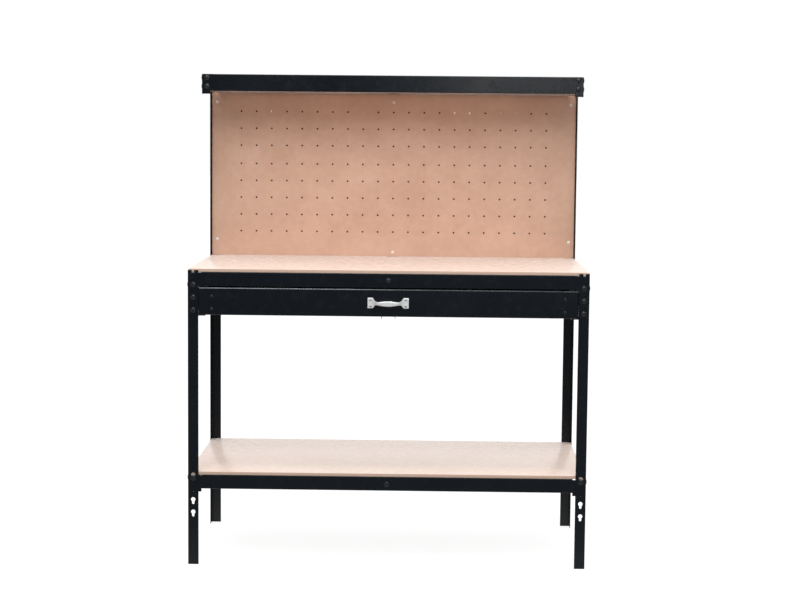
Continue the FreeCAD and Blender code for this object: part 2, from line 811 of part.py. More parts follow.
def build_hanger(label, side):
    """Build the sheet bracket that joins the two legs of one side and carries a runner."""
    hanger = Piece(label, (side * hanger_x, 0, hanger_bottom))
    outer = side * (inner_side - dim("hanger_clear") - hanger_x)
    bend = dim("leg_bend")
    deep = side * wall
    section = Polygon([
        (0, inner_front, bend), (outer, inner_front), (outer, inner_front + wall),
        (deep, inner_front + wall, bend - wall), (deep, inner_rear - wall, bend - wall),
        (outer, inner_rear - wall), (outer, inner_rear), (0, inner_rear, bend),
    ])
    hanger.pad("XY", 0, dim("hanger_height"), section)
    lip = sorted((-side * dim("hanger_lip"), deep), key=float)
    hanger.pad("XY", 0, wall, rectangle(lip[0], inner_front + bend, lip[1], inner_rear - bend))
    bolt_u = side * (slot_x - hanger_x)
    for face, inward in ((inner_front, 1), (inner_rear, -1)):
        holes = [Circle(bolt_u, level - hanger_bottom, bolt_hole) for level in hanger_bolts]
        hanger.pierce("XZ", face, inward, wall, *holes)
    holes = [Circle(y, rivet_level - hanger_bottom, rivet_hole) for y in runner_rivets]
    holes.append(Circle(cabinet_roller_y, cabinet_roller_z - hanger_bottom, pin_hole))
    hanger.pierce("YZ", Size.of(0), side, wall, *holes)


def build_runner(label, side):
    """Build the fixed runner that the drawer's rear roller rolls in."""
    runner = Piece(label, (side * hanger_x, 0, runner_bottom))
    thick, flange = dim("runner_wall"), dim("runner_flange")
    profile = channel(Size.of(0), -side, dim("runner_height"), flange, flange, thick, dim("runner_bend"))
    runner.pad("XZ", runner_front, runner_rear, profile)
    holes = [Circle(y, rivet_level - runner_bottom, rivet_hole) for y in runner_rivets]
    holes.append(Circle(cabinet_roller_y, cabinet_roller_z - runner_bottom, pin_hole))
    runner.pierce("YZ", Size.of(0), -side, thick, *holes)


def build_slide(label, side):
    """Build the drawer's own rail, whose flange rides on the front roller."""
    slide = Piece(label, (side * drawer_side_x, 0, slide_top))
    thick = dim("runner_wall")
    profile = angle(0, 0, side, -1, dim("slide_flange"), dim("slide_height"), thick, dim("runner_bend"))
    slide.pad("XZ", slide_front, slide_rear, profile)
    holes = [Circle(y, rivet_level - slide_top, rivet_hole) for y in slide_rivets]
    holes.append(Circle(drawer_roller_y, drawer_roller_z - slide_top, pin_hole))
    slide.pierce("YZ", Size.of(0), side, thick, *holes)


def build_roller(label, side, y, z):
    """Build one roller about its own middle."""
    roller = Piece(label, (side * roller_x, y, z))
    half = dim("roller_width") / 2
    roller.pad("YZ", -half, half, Circle(0, 0, dim("roller_radius")), Circle(0, 0, pin_hole))


# Drawer

def build_drawer_front():
    """Build the drawer's front panel, a shallow pan with rounded front edges."""
    panel = Piece("drawer_front", (0, drawer_face, drawer_middle))
    half, tall = drawer_half, dim("drawer_height") / 2
    thick, deep, bend = dim("drawer_sheet"), dim("drawer_return"), dim("drawer_bend")
    panel.pad("XZ", 0, deep, rectangle(-half, -tall, half, tall))
    panel.fillet(bend, lambda edge: edge.BoundBox.YMax < 0.01)
    panel.cut("XZ", thick, deep + thick, rectangle(thick - half, thick - tall, half - thick, tall - thick))
    at_floor = thick.value
    panel.fillet(bend - thick, lambda edge: abs(edge.BoundBox.YMin - at_floor) < 0.01
                 and abs(edge.BoundBox.YMax - at_floor) < 0.01)
    holes = [Circle(sign * drawer_bolt_x, level - drawer_middle, screw_hole)
             for _, sign in SIDES for level in drawer_bolts]
    holes += [Circle(sign * handle_screw_x, level - drawer_middle, handle_hole)
              for _, sign in SIDES for level in handle_screws]
    panel.pierce("XZ", Size.of(0), 1, thick, *holes)


def build_drawer_side(label, side):
    """Build one drawer side with its ledge, its hem and its two end tabs."""
    panel = Piece(label, (side * drawer_side_x, 0, drawer_side_bottom))
    thick, bend, tall = dim("drawer_sheet"), dim("drawer_side_bend"), dim("drawer_side_height")
    profile = channel(Size.of(0), -side, tall, dim("drawer_ledge"), dim("drawer_hem"), thick, bend)
    start = drawer_inside + thick
    end = drawer_rear - thick
    panel.pad("XZ", start, end, profile)
    for near, width in ((drawer_inside, dim("drawer_tab")), (end, dim("drawer_back_tab"))):
        low, high = sorted((-side * width, Size.of(0)), key=float)
        panel.pad("XZ", near, near + thick, rectangle(low, bend, high, tall - bend))
    holes = [Circle(side * (drawer_bolt_x - drawer_side_x), level - drawer_side_bottom, screw_hole)
             for level in drawer_bolts]
    panel.pierce("XZ", drawer_inside, 1, thick, *holes)
    holes = [Circle(y, rivet_level - drawer_side_bottom, rivet_hole) for y in slide_rivets]
    holes.append(Circle(drawer_roller_y, drawer_roller_z - drawer_side_bottom, pin_hole))
    panel.pierce("YZ", Size.of(0), -side, thick, *holes)


def build_drawer_bottom():
    """Build the sheet that lies on the ledges of the drawer sides."""
    floor = Piece("drawer_bottom", (0, 0, drawer_floor))
    fit = dim("drawer_fit")
    side = drawer_side_x - dim("drawer_side_bend") - fit
    near = drawer_inside + dim("drawer_sheet") + fit
    far = drawer_rear - dim("drawer_sheet") - fit
    floor.pad("XY", 0, dim("drawer_sheet"), rectangle(-side, near, side, far))


def build_drawer_back():
    """Build the drawer's back, which stands on its floor in front of the rear tabs."""
    foot = drawer_floor + dim("drawer_sheet")
    back = Piece("drawer_back", (0, drawer_rear - dim("drawer_sheet"), foot))
    side = drawer_side_x - dim("drawer_side_bend") - dim("drawer_fit")
    head = drawer_side_bottom + dim("drawer_side_height") - dim("drawer_sheet") - dim("drawer_fit")
    back.pad("XZ", -dim("drawer_sheet"), 0, rectangle(-side, 0, side, head - foot))


def build_drawer_stiffener():
    """Build the channel under the middle of the drawer's floor."""
    start = drawer_face + dim("drawer_return") + dim("slide_gap")
    stiffener = Piece("drawer_stiffener", (0, start, drawer_floor))
    thick = dim("drawer_sheet")
    half, rim = dim("stiffener_width") / 2, -dim("stiffener_height")
    section = trough(half, Size.of(0), rim, thick, dim("drawer_side_bend"))
    stiffener.pad("XZ", 0, drawer_rear - thick - start, section)


def build_handle():
    """Build the bow handle: two foot plates and a bar that swells at the grip."""
    handle = Piece("drawer_handle", (0, drawer_face, drawer_middle))
    end, foot = dim("handle_length") / 2, dim("handle_foot")
    tall, plate = dim("handle_height") / 2, dim("handle_foot_wall")
    corner = dim("handle_foot_round")
    root = end - foot
    plates = [rounded(-end, -tall, -root, tall, corner), rounded(root, -tall, end, tall, corner)]
    handle.pad("XZ", -plate, 0, *plates)
    reach, bar, run = dim("handle_reach"), dim("handle_bar"), dim("neck_run")
    neck, grip = dim("neck_height") / 2, dim("grip_height") / 2
    steps = [(root + plate, plate * 1.5, plate / 2, neck),
             (root - run / 2, reach - bar, reach / 3, neck),
             (root - run, reach, reach - bar * 2, neck),
             (Size.of(0), reach, reach - bar, grip)]
    stations = [(-x, out, back, half) for x, out, back, half in steps] + steps[-2::-1]
    handle.loft([(x, rounded(-out, -half, -back, half, dim("handle_round")))
                 for x, out, back, half in stations])
    holes = [Circle(sign * handle_screw_x, level - drawer_middle, handle_hole)
             for _, sign in SIDES for level in handle_screws]
    handle.pierce("XZ", -plate, 1, plate, *holes)


# Fasteners: groups of one solid, copied to its places

class Spot:
    """The place where a fastener's head rests, the way its tip points and the stack it holds."""

    def __init__(self, x, y, z, way, stack):
        self.place = [Size.of(item).value for item in (x, y, z)]
        self.way = way
        self.stack = Size.of(stack).value

    def moved(self, along):
        """Return the point that lies some way along the fastener."""
        return Vector(*self.place) + Vector(*self.way) * along


def facing(way):
    """Return the turn that points +Z along a level direction and keeps +Y upright."""
    ahead, upright = Vector(*way), Vector(0, 0, 1)
    return FreeCAD.Rotation(upright.cross(ahead), upright, ahead, "ZYX")


def fasten(label, solid, spots, along=lambda spot: 0.0):
    """Copy a solid to its spots, as one group whose own origin is its first spot."""
    origin = spots[0].moved(along(spots[0]))
    copies = []
    for spot in spots:
        item = solid.copy()
        item.Placement = FreeCAD.Placement(spot.moved(along(spot)) - origin, facing(spot.way))
        copies.append(item)
    group = doc.addObject("Part::Feature", label)
    group.Label = label
    group.Shape = Part.makeCompound(copies)
    group.Placement = FreeCAD.Placement(origin, FreeCAD.Rotation())
    Piece.labels.append(label)


def value(alias):
    """Return the plain number of a cell of the sheet."""
    return dim(alias).value


def turned(steps):
    """Return one solid turned about +Z from steps of (level, radius), from its tail to its tip."""
    points = [Vector(0, 0, steps[0][0])]
    points += [Vector(radius, 0, level) for level, radius in steps]
    points += [Vector(0, 0, steps[-1][0]), points[0]]
    face = Part.Face(Part.makePolygon(points))
    return face.revolve(Vector(0, 0, 0), Vector(0, 0, 1), 360)


def screw(radius, length, head_radius, head_height):
    """Return a screw with a low domed head below zero and its shank above."""
    rim, crown = head_height * 0.4, head_radius * 0.7
    return turned([(-head_height, crown), (-rim, head_radius), (0, head_radius),
                   (0, radius), (length, radius)])


def nut(flats, height, bore):
    """Return a hexagonal nut that starts at zero, with a corner along +Y."""
    corner = flats / math.sqrt(3)
    turns = [math.radians(60 * step) for step in range(7)]
    points = [Vector(corner * math.sin(turn), corner * math.cos(turn), 0) for turn in turns]
    block = Part.Face(Part.makePolygon(points)).extrude(Vector(0, 0, height))
    return block.cut(Part.makeCylinder(bore, height))


def rivet(length):
    """Return a rivet with a flat head at each end of the stack that it holds."""
    radius, head, high = value("rivet_radius"), value("rivet_head_radius"), value("rivet_head_height")
    return turned([(-high, head), (0, head), (0, radius),
                   (length, radius), (length, head), (length + high, head)])


def roller_pin(shoulder, stack):
    """Return the stepped pin of a roller: head, journal, shoulder, shank and formed tail."""
    journal = value("roller_width") + 2 * value("roller_clearance")
    radius, step = value("pin_radius"), value("pin_shoulder_radius")
    head, high = value("pin_head_radius"), value("pin_head_height")
    seat = journal + shoulder
    tail = seat + stack
    return turned([(-high, head), (0, head), (0, radius), (journal, radius), (journal, step), (seat, step),
                   (seat, radius), (tail, radius), (tail, head), (tail + high, head)])


def frame_spots():
    """Return the spots of all the bolts that hold the frame together, the top of the strut last."""
    spots = []
    beam_stack = wall + sheet_wall
    plate = dim("plate_wall")
    for _, side in SIDES:
        for _, end in ENDS:
            edge = front if end < 0 else rear
            ahead, across = (0, -end, 0), (-side, 0, 0)
            side_y = edge - end * dim("slot_inset")
            extra = plate if end > 0 else Size.of(0)
            spots.append(Spot(side * slot_x, edge + extra, apron_bolt, ahead, beam_stack + extra))
            spots.append(Spot(side * slot_x, edge, shelf_bolt, ahead, beam_stack))
            spots.append(Spot(side * slot_x, edge + extra, hanger_bolts[1], ahead, wall * 2 + extra))
            spots.append(Spot(side * slot_x, edge, hanger_bolts[0], ahead, wall * 2))
            spots += [Spot(side * half_width, side_y, level, across, beam_stack)
                      for level in (apron_bolt, shelf_bolt)]
            tray_edge = tray_front if end < 0 else rear
            tray_y = tray_edge - end * dim("slot_inset")
            for level in tray_bolts:
                spots.append(Spot(side * slot_x, tray_edge, level, ahead, beam_stack))
                spots.append(Spot(side * half_width, tray_y, level, across, beam_stack))
    double = sheet_wall * 2
    spots.append(Spot(0, inner_front, apron_middle, (0, 1, 0), double))
    spots.append(Spot(0, rear, apron_middle, (0, -1, 0), double + wall))
    spots.append(Spot(0, inner_front, brace_bolt, (0, 1, 0), double))
    spots.append(Spot(0, inner_rear, brace_bolt, (0, -1, 0), double))
    spots.append(Spot(0, rear, strut_bolt, (0, -1, 0), beam_stack))
    return spots


def build_frame_fasteners():
    """Build the bolts and nuts of the frame; the nut inside the tray is a node of its own."""
    spots = frame_spots()
    head = (value("bolt_head_radius"), value("bolt_head_height"))
    fasten("frame_bolts", screw(value("bolt_radius"), value("bolt_length"), *head), spots)
    hexagon = nut(value("nut_flats"), value("nut_height"), value("bolt_radius") + value("thread_gap"))
    fasten("frame_nuts", hexagon, spots[:-1], lambda spot: spot.stack)
    fasten("strut_nut", hexagon, spots[-1:], lambda spot: spot.stack)


def build_pegboard_fasteners():
    """Build the screws and nuts of the pegboard."""
    board_front = inner_rear - dim("pegboard_thickness")
    stack = dim("pegboard_thickness") + wall
    low, high = peg_corner_levels
    spots = [Spot(sign * peg_screw_x, board_front, high, (0, 1, 0), stack) for _, sign in SIDES]
    spots += [Spot(sign * peg_screw_x, board_front, low, (0, 1, 0), stack + dim("plate_wall"))
              for _, sign in SIDES]
    spots += [Spot(0, board_front, level, (0, 1, 0), stack) for level in peg_centre_levels]
    head = (value("screw_head_radius"), value("screw_head_height"))
    fasten("pegboard_screws", screw(value("screw_radius"), value("peg_screw_length"), *head), spots)
    fasten("pegboard_nuts", small_nut(), spots, lambda spot: spot.stack)


def small_nut():
    """Return the nut of the small screws."""
    bore = value("screw_radius") + value("thread_gap")
    return nut(value("screw_nut_flats"), value("screw_nut_height"), bore)


def build_drawer_fasteners():
    """Build the screws and nuts of the drawer's front panel and of its handle."""
    sheets = dim("drawer_sheet") * 2
    spots = [Spot(sign * drawer_bolt_x, drawer_face, level, (0, 1, 0), sheets)
             for _, sign in SIDES for level in drawer_bolts]
    head = (value("screw_head_radius"), value("screw_head_height"))
    fasten("front_panel_screws", screw(value("screw_radius"), value("drawer_screw_length"), *head), spots)
    fasten("front_panel_nuts", small_nut(), spots, lambda spot: spot.stack)
    plate = dim("handle_foot_wall")
    spots = [Spot(sign * handle_screw_x, drawer_face - plate, level, (0, 1, 0), plate + dim("drawer_sheet"))
             for _, sign in SIDES for level in handle_screws]
    radius = value("handle_screw_radius")
    head = (value("handle_screw_head_radius"), value("handle_screw_head_height"))
    fasten("handle_screws", screw(radius, value("handle_screw_length"), *head), spots)
    hexagon = nut(value("handle_nut_flats"), value("handle_nut_height"), radius + value("thread_gap"))
    fasten("handle_nuts", hexagon, spots, lambda spot: spot.stack)


def build_runner_fasteners():
    """Build the rivets of the runners and rails, and the pins of the rollers."""
    thin = dim("runner_wall")
    fixed, sliding = thin + wall, thin + dim("drawer_sheet")
    spots = [Spot(sign * runner_x, y, rivet_level, (sign, 0, 0), fixed)
             for _, sign in SIDES for y in runner_rivets]
    fasten("runner_rivets", rivet(fixed.value), spots)
    spots = [Spot(sign * slide_x, y, rivet_level, (-sign, 0, 0), sliding)
             for _, sign in SIDES for y in slide_rivets]
    fasten("slide_rivets", rivet(sliding.value), spots)
    reach = dim("roller_width") / 2 + dim("roller_clearance")
    spots = [Spot(sign * (roller_x - reach), cabinet_roller_y, cabinet_roller_z, (sign, 0, 0), fixed)
             for _, sign in SIDES]
    fasten("cabinet_roller_pins", roller_pin((runner_x - roller_x - reach).value, fixed.value), spots)
    spots = [Spot(sign * (roller_x + reach), drawer_roller_y, drawer_roller_z, (-sign, 0, 0), sliding)
             for _, sign in SIDES]
    fasten("drawer_roller_pins", roller_pin((roller_x - reach - slide_x).value, sliding.value), spots)


# The whole bench

for side_name, sign in SIDES:
    for end_name, end_sign in ENDS:
        build_leg(f"leg_{end_name}_{side_name}", sign, end_sign)
    build_post(f"post_{side_name}", sign)
    build_corner(f"top_corner_{side_name}", sign)
    build_joint_plate(f"joint_plate_{side_name}", sign)
    build_hanger(f"drawer_hanger_{side_name}", sign)
    build_runner(f"cabinet_runner_{side_name}", sign)
    build_slide(f"drawer_rail_{side_name}", sign)
    build_roller(f"cabinet_roller_{side_name}", sign, cabinet_roller_y, cabinet_roller_z)
    build_roller(f"drawer_roller_{side_name}", sign, drawer_roller_y, drawer_roller_z)
    build_drawer_side(f"drawer_side_{side_name}", sign)

low_profile = (dim("beam_height"), dim("beam_lip"), dim("beam_flange"))
tab_head = dim("beam_height") - dim("beam_tab_inset")
upper_section = (*low_profile, -dim("apron_tab_drop"), tab_head)
lower_section = (*low_profile, -dim("beam_tab_drop"), tab_head)
tray_section = (dim("tray_beam_height"), dim("tray_beam_flange"), dim("tray_beam_lip"),
                Size.of(0), dim("tray_beam_height"))
shelf_beam_bottom = dim("shelf_beam_top") - dim("beam_height")
build_frame_level("upper", front, apron_bottom, upper_section, [apron_bolt], (apron_middle, apron_middle))
build_frame_level("lower", front, shelf_beam_bottom, lower_section, [shelf_bolt], (brace_bolt, brace_bolt))
build_frame_level("tray", tray_front, tray_bottom, tray_section, tray_bolts, (None, strut_bolt))
build_brace("worktop_brace", apron_top, apron_middle)
build_brace("shelf_brace", dim("shelf_beam_top"), brace_bolt)
build_board("worktop_board", apron_top, inner_rear - dim("pegboard_thickness"))
build_board("lower_shelf_board", dim("shelf_beam_top"), inner_rear)
build_tray_board()
build_pegboard()
build_strut()
build_drawer_front()
build_drawer_bottom()
build_drawer_back()
build_drawer_stiffener()
build_handle()
build_frame_fasteners()
build_pegboard_fasteners()
build_drawer_fasteners()
build_runner_fasteners()

# Checks and files

doc.recompute()
for item in doc.Objects:
    if {"Invalid", "Error"} & set(item.State):
        raise RuntimeError(f"{item.Name} could not be built: {item.State}")

os.makedirs("parts", exist_ok=True)
for label in Piece.labels:
    shape = doc.getObjectsByLabel(label)[0].Shape
    if shape.isNull() or not shape.isValid() or not shape.Solids:
        raise RuntimeError(f"{label} has no valid solid")
    shape.exportStep(f"parts/{label}.step")
print(f"{len(Piece.labels)} parts written")
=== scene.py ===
"""Looks of a workbench: dresses its steel, boards, drawer and fasteners, and sets the studio."""

import json
import logging
import math
from collections import defaultdict
from dataclasses import dataclass, field
from enum import Enum
from typing import Dict, List, Mapping, Sequence, Tuple, Union

import bmesh
import bpy
from mathutils import Matrix, Vector

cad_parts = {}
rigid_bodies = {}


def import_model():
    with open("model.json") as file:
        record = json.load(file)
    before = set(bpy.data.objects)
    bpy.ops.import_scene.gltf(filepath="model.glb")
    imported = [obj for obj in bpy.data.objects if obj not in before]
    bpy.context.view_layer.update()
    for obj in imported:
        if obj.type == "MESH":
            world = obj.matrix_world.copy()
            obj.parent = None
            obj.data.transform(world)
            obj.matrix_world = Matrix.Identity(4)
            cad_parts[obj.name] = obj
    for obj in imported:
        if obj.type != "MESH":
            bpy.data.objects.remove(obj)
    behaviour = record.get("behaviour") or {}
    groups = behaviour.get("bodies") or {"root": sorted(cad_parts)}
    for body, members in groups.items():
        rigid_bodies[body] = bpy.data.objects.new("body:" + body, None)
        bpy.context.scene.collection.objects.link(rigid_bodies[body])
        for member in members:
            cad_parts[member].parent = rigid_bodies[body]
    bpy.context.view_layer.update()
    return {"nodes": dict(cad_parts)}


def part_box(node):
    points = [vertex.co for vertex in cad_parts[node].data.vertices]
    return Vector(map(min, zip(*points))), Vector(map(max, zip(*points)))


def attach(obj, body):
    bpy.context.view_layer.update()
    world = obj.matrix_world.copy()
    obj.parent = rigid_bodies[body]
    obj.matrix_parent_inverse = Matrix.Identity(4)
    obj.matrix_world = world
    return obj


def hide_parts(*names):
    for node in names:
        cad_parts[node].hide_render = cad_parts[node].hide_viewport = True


for leftover in list(bpy.data.objects):
    bpy.data.objects.remove(leftover)
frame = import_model()
log = logging.getLogger("workbench")

MM = 0.001
Number = Union["Socket", float]
Colour = Tuple[float, float, float, float]


class Axis(Enum):
    """The three axes of the bench, by the number of their coordinate."""

    X = 0
    Y = 1
    Z = 2


class Body(Enum):
    """The bodies that a piece can ride on."""

    BENCH = "bench"
    DRAWER = "drawer"


# Node graphs

class Socket:
    """The output of a node; an expression on sockets adds the Math nodes that it needs."""

    def __init__(self, graph: "Graph", output: bpy.types.NodeSocket) -> None:
        """Keep the output and the graph that it is in."""
        self.graph = graph
        self.output = output

    def __add__(self, other: Number) -> "Socket":
        """Return the sum."""
        return self.graph.maths("ADD", self, other)

    def __sub__(self, other: Number) -> "Socket":
        """Return the difference."""
        return self.graph.maths("SUBTRACT", self, other)

    def __rsub__(self, other: Number) -> "Socket":
        """Return a number less this socket."""
        return self.graph.maths("SUBTRACT", other, self)

    def __mul__(self, other: Number) -> "Socket":
        """Return the product."""
        return self.graph.maths("MULTIPLY", self, other)

    def __truediv__(self, other: Number) -> "Socket":
        """Return the quotient."""
        return self.graph.maths("DIVIDE", self, other)

    def __neg__(self) -> "Socket":
        """Return the negative."""
        return self.graph.maths("MULTIPLY", self, -1.0)

    def __abs__(self) -> "Socket":
        """Return the size without its sign."""
        return self.graph.maths("ABSOLUTE", self, 0.0)

    __radd__ = __add__
    __rmul__ = __mul__


class Graph:
    """A node tree that is filled through one method."""

    def __init__(self, tree: bpy.types.NodeTree) -> None:
        """Start with the tree emptied."""
        self.tree = tree
        tree.nodes.clear()

    def node(self, kind: str, settings: Mapping[str, object] = {},
             sockets: Mapping[Union[str, int], object] = {}) -> bpy.types.Node:
        """Add one node.

        Args:
            kind: The node's type.
            settings: Its properties, which are set first; "stops" are those of a colour ramp.
            sockets: A value or a socket for each input, by its name or number.

        Returns:
            The node.
        """
        made = self.tree.nodes.new(kind)
        for name, value in settings.items():
            if name == "stops":
                ramp = made.color_ramp
                for index, (place, shade) in enumerate(value):
                    stop = ramp.elements[index] if index < 2 else ramp.elements.new(place)
                    stop.position, stop.color = place, (shade, shade, shade, 1.0)
            else:
                setattr(made, name, value)
        for name, value in sockets.items():
            if isinstance(value, Socket):
                self.tree.links.new(value.output, made.inputs[name])
            else:
                made.inputs[name].default_value = value
        return made

    def out(self, kind: str, settings: Mapping[str, object] = {},
            sockets: Mapping[Union[str, int], object] = {}, output: Union[str, int] = 0) -> Socket:
        """Add one node and return one of its outputs, the first unless another is named."""
        return Socket(self, self.node(kind, settings, sockets).outputs[output])

    def maths(self, operation: str, first: Number, second: Number) -> Socket:
        """Return the result of a Math node."""
        return self.out("ShaderNodeMath", {"operation": operation}, {0: first, 1: second})


class Shading(Graph):
    """The nodes of one material, around its Principled shader."""

    def __init__(self, material: bpy.types.Material) -> None:
        """Add the shader, its output and the object's coordinates, which are in metres."""
        material.use_nodes = True
        super().__init__(material.node_tree)
        self.shader = self.node("ShaderNodeBsdfPrincipled")
        self.node("ShaderNodeOutputMaterial", sockets={"Surface": Socket(self, self.shader.outputs[0])})
        self.place = self.node("ShaderNodeTexCoord")

    def set(self, **values: object) -> None:
        """Set or link inputs of the shader; an underscore in a name stands for a space."""
        for name, value in values.items():
            target = self.shader.inputs[name.replace("_", " ")]
            if isinstance(value, Socket):
                self.tree.links.new(value.output, target)
            else:
                target.default_value = value

    def noise(self, grain: float, detail: float = 2.0,
              stretch: Sequence[float] = (1.0, 1.0, 1.0)) -> Socket:
        """Return a noise from 0 to 1.

        Args:
            grain: The size of its grain in millimetres.
            detail: How many finer layers it has.
            stretch: How many times longer the grain is along each axis.

        Returns:
            The noise.
        """
        where = self.out("ShaderNodeMapping", {}, {
            "Vector": Socket(self, self.place.outputs["Object"]),
            "Scale": tuple(1.0 / (share * grain * MM) for share in stretch)})
        return self.out("ShaderNodeTexNoise", {}, {"Vector": where, "Scale": 1.0, "Detail": detail})

    def cells(self, grain: float) -> Socket:
        """Return a value that is constant in cells of a size in millimetres."""
        where = self.out("ShaderNodeTexVoronoi", {}, {
            "Vector": Socket(self, self.place.outputs["Object"]), "Scale": 1.0 / (grain * MM)}, "Color")
        return self.out("ShaderNodeSeparateColor", {}, {0: where})

    def ramp(self, value: Socket, *stops: Tuple[float, float]) -> Socket:
        """Return the value after a curve of (place, grey) stops."""
        curve = self.node("ShaderNodeValToRGB", {"stops": stops}, {0: value})
        return Socket(self, curve.outputs[0])

    def along(self, axis: Axis) -> Socket:
        """Return the place along an axis, in metres."""
        split = self.node("ShaderNodeSeparateXYZ", {}, {0: Socket(self, self.place.outputs["Object"])})
        return Socket(self, split.outputs[axis.value])

    def facing(self, axis: Axis) -> Socket:
        """Return 1 where the surface faces along the axis, either way, and 0 where it is an edge."""
        split = self.node("ShaderNodeSeparateXYZ", {}, {0: Socket(self, self.place.outputs["Normal"])})
        return self.ramp(abs(Socket(self, split.outputs[axis.value])), (0.35, 0.0), (0.8, 1.0))

    def mix(self, share: Number, first: Union[Socket, Colour], second: Union[Socket, Colour]) -> Socket:
        """Return a colour between two colours."""
        return self.out("ShaderNodeMix", {"data_type": "RGBA"}, {0: share, 6: first, 7: second}, 2)

    def bump(self, height: Socket, distance: float, strength: float = 1.0) -> None:
        """Raise the surface by a height map.

        Args:
            height: The map, from 0 to 1.
            distance: How far 1 stands above 0, in millimetres.
            strength: The share of the effect.
        """
        self.set(Normal=self.out("ShaderNodeBump", {}, {
            "Height": height, "Distance": distance * MM, "Strength": strength}))


# Finishes

@dataclass(frozen=True)
class Finish:
    """What every finish has: its name and the slot of the record that it stands for."""

    name: str
    slot: str

    def shade(self, shading: Shading) -> None:
        """Fill in the material's nodes."""
        raise NotImplementedError

    def material(self) -> bpy.types.Material:
        """Return the finish's material, which is made when it is first asked for."""
        material = bpy.data.materials.get(self.name)
        if material is None:
            material = bpy.data.materials.new(self.name)
            self.shade(Shading(material))
        return material


@dataclass(frozen=True)
class PowderCoat(Finish):
    """Baked powder paint on sheet steel, with its fine orange peel and a trace of dust."""

    deep: Colour = (0.0012, 0.0034, 0.0062, 1.0)
    tinted: Colour = (0.0032, 0.0062, 0.0104, 1.0)
    dust: Colour = (0.075, 0.072, 0.068, 1.0)
    roughness: float = 0.25
    peel: float = 0.05
    shine: float = 0.30

    def shade(self, shading: Shading) -> None:
        """Mix the black from broad clouds, fine grit and dust."""
        cloud = shading.noise(160.0, 3.0)
        peel = shading.noise(2.2, 2.0)
        grit = shading.noise(0.5, 1.0)
        dust = shading.ramp(shading.noise(26.0, 7.0), (0.52, 0.0), (0.78, 1.0))
        paint = shading.mix(cloud, self.deep, self.tinted)
        shading.set(Base_Color=shading.mix(dust * (grit * 0.10), paint, self.dust),
                    Roughness=self.roughness + (peel - 0.5) * 0.10 + (cloud - 0.5) * 0.12 + dust * 0.05,
                    Specular_IOR_Level=self.shine)
        shading.bump(peel * 0.8 + grit * 0.2, self.peel, 0.6)


@dataclass(frozen=True)
class HighlightedCoat(PowderCoat):
    """Powder paint with a painted highlight: a pale, patchy band along a drawer's top edge, full on the left
    and fading to a quarter on the right.
    """

    highlight_colour: Colour = (0.165, 0.185, 0.200, 1.0)
    highlight_left: float = -150.0
    highlight_right: float = 120.0
    faintest_highlight: float = 0.25
    highlight_from: float = 839.4
    highlight_to: float = 840.4

    def shade(self, shading: Shading) -> None:
        """Lay the paint, then the painted highlight along the top edge over it."""
        super().shade(shading)
        paint = Socket(shading, shading.shader.inputs["Base Color"].links[0].from_socket)
        # painted highlight: pale colour in a band 1 mm high at the top edge, broken into patches and fading
        # from left to right
        level = shading.along(Axis.Z)
        edge = shading.out("ShaderNodeMapRange", {"clamp": True}, {
            0: level, 1: self.highlight_from * MM, 2: self.highlight_to * MM})
        highlight_patches = shading.ramp(shading.noise(14.0, 4.0, (5.0, 1.0, 1.0)), (0.25, 0.45), (0.60, 1.0))
        share = shading.out("ShaderNodeMapRange", {"clamp": True}, {
            0: shading.along(Axis.X), 1: self.highlight_left * MM, 2: self.highlight_right * MM,
            3: 1.0, 4: self.faintest_highlight})
        shading.set(Base_Color=shading.mix(edge * highlight_patches * share, paint, self.highlight_colour))


@dataclass(frozen=True)
class FibreBoard(Finish):
    """Raw pressed fibreboard: matted fibres on its faces and a coarser, darker sawn edge."""

    face: Axis = Axis.Z
    pale: Colour = (0.705, 0.465, 0.345, 1.0)
    warm: Colour = (0.610, 0.380, 0.272, 1.0)
    fibre: Colour = (0.430, 0.245, 0.165, 1.0)
    edge: Colour = (0.340, 0.215, 0.150, 1.0)
    roughness: float = 0.27
    sheen: float = 0.0
    sheen_tint: Colour = (1.0, 0.91, 0.85, 1.0)
    grain: float = 1.0

    def shade(self, shading: Shading) -> None:
        """Mix the board's colour from clouds, crossed fibres, specks and its edges."""
        across = (1.0, 1.0, 0.2) if self.face is Axis.Z else (1.0, 0.2, 1.0)
        cloud = shading.noise(120.0, 4.0)
        patch = shading.noise(22.0, 3.0)
        felt = shading.noise(1.1, 3.0, across)
        long_way = shading.noise(0.9, 2.0, (6.0, 1.0, 1.0))
        other_way = shading.noise(0.9, 2.0, (1.0, 6.0, 1.0) if self.face is Axis.Z else (1.0, 1.0, 6.0))
        strands = shading.ramp(long_way * 0.5 + other_way * 0.5, (0.50, 0.0), (0.68, 1.0))
        specks = shading.ramp(shading.noise(2.4, 2.0), (0.66, 0.0), (0.76, 1.0))
        flat = shading.facing(self.face)
        tone = shading.mix(shading.ramp(cloud * 0.6 + patch * 0.4, (0.35, 0.0), (0.65, 1.0)),
                           self.pale, self.warm)
        tone = shading.mix((strands * 0.20 + felt * 0.10) * self.grain, tone, self.fibre)
        tone = shading.mix(specks * (0.35 * self.grain), tone, self.fibre)
        sawn = shading.mix(felt, self.edge, self.fibre)
        dullness = self.roughness + (felt - 0.5) * 0.12 + (1.0 - flat) * 0.25 + (patch - 0.5) * 0.08
        shading.set(Base_Color=shading.mix(flat, shading.mix(0.25, sawn, tone), tone), Roughness=dullness,
                    Sheen_Weight=self.sheen, Sheen_Roughness=0.45, Sheen_Tint=self.sheen_tint)
        shading.bump(felt * 0.6 + strands * 0.4 + (1.0 - flat) * felt * 2.0, 0.05, 0.5 * self.grain)


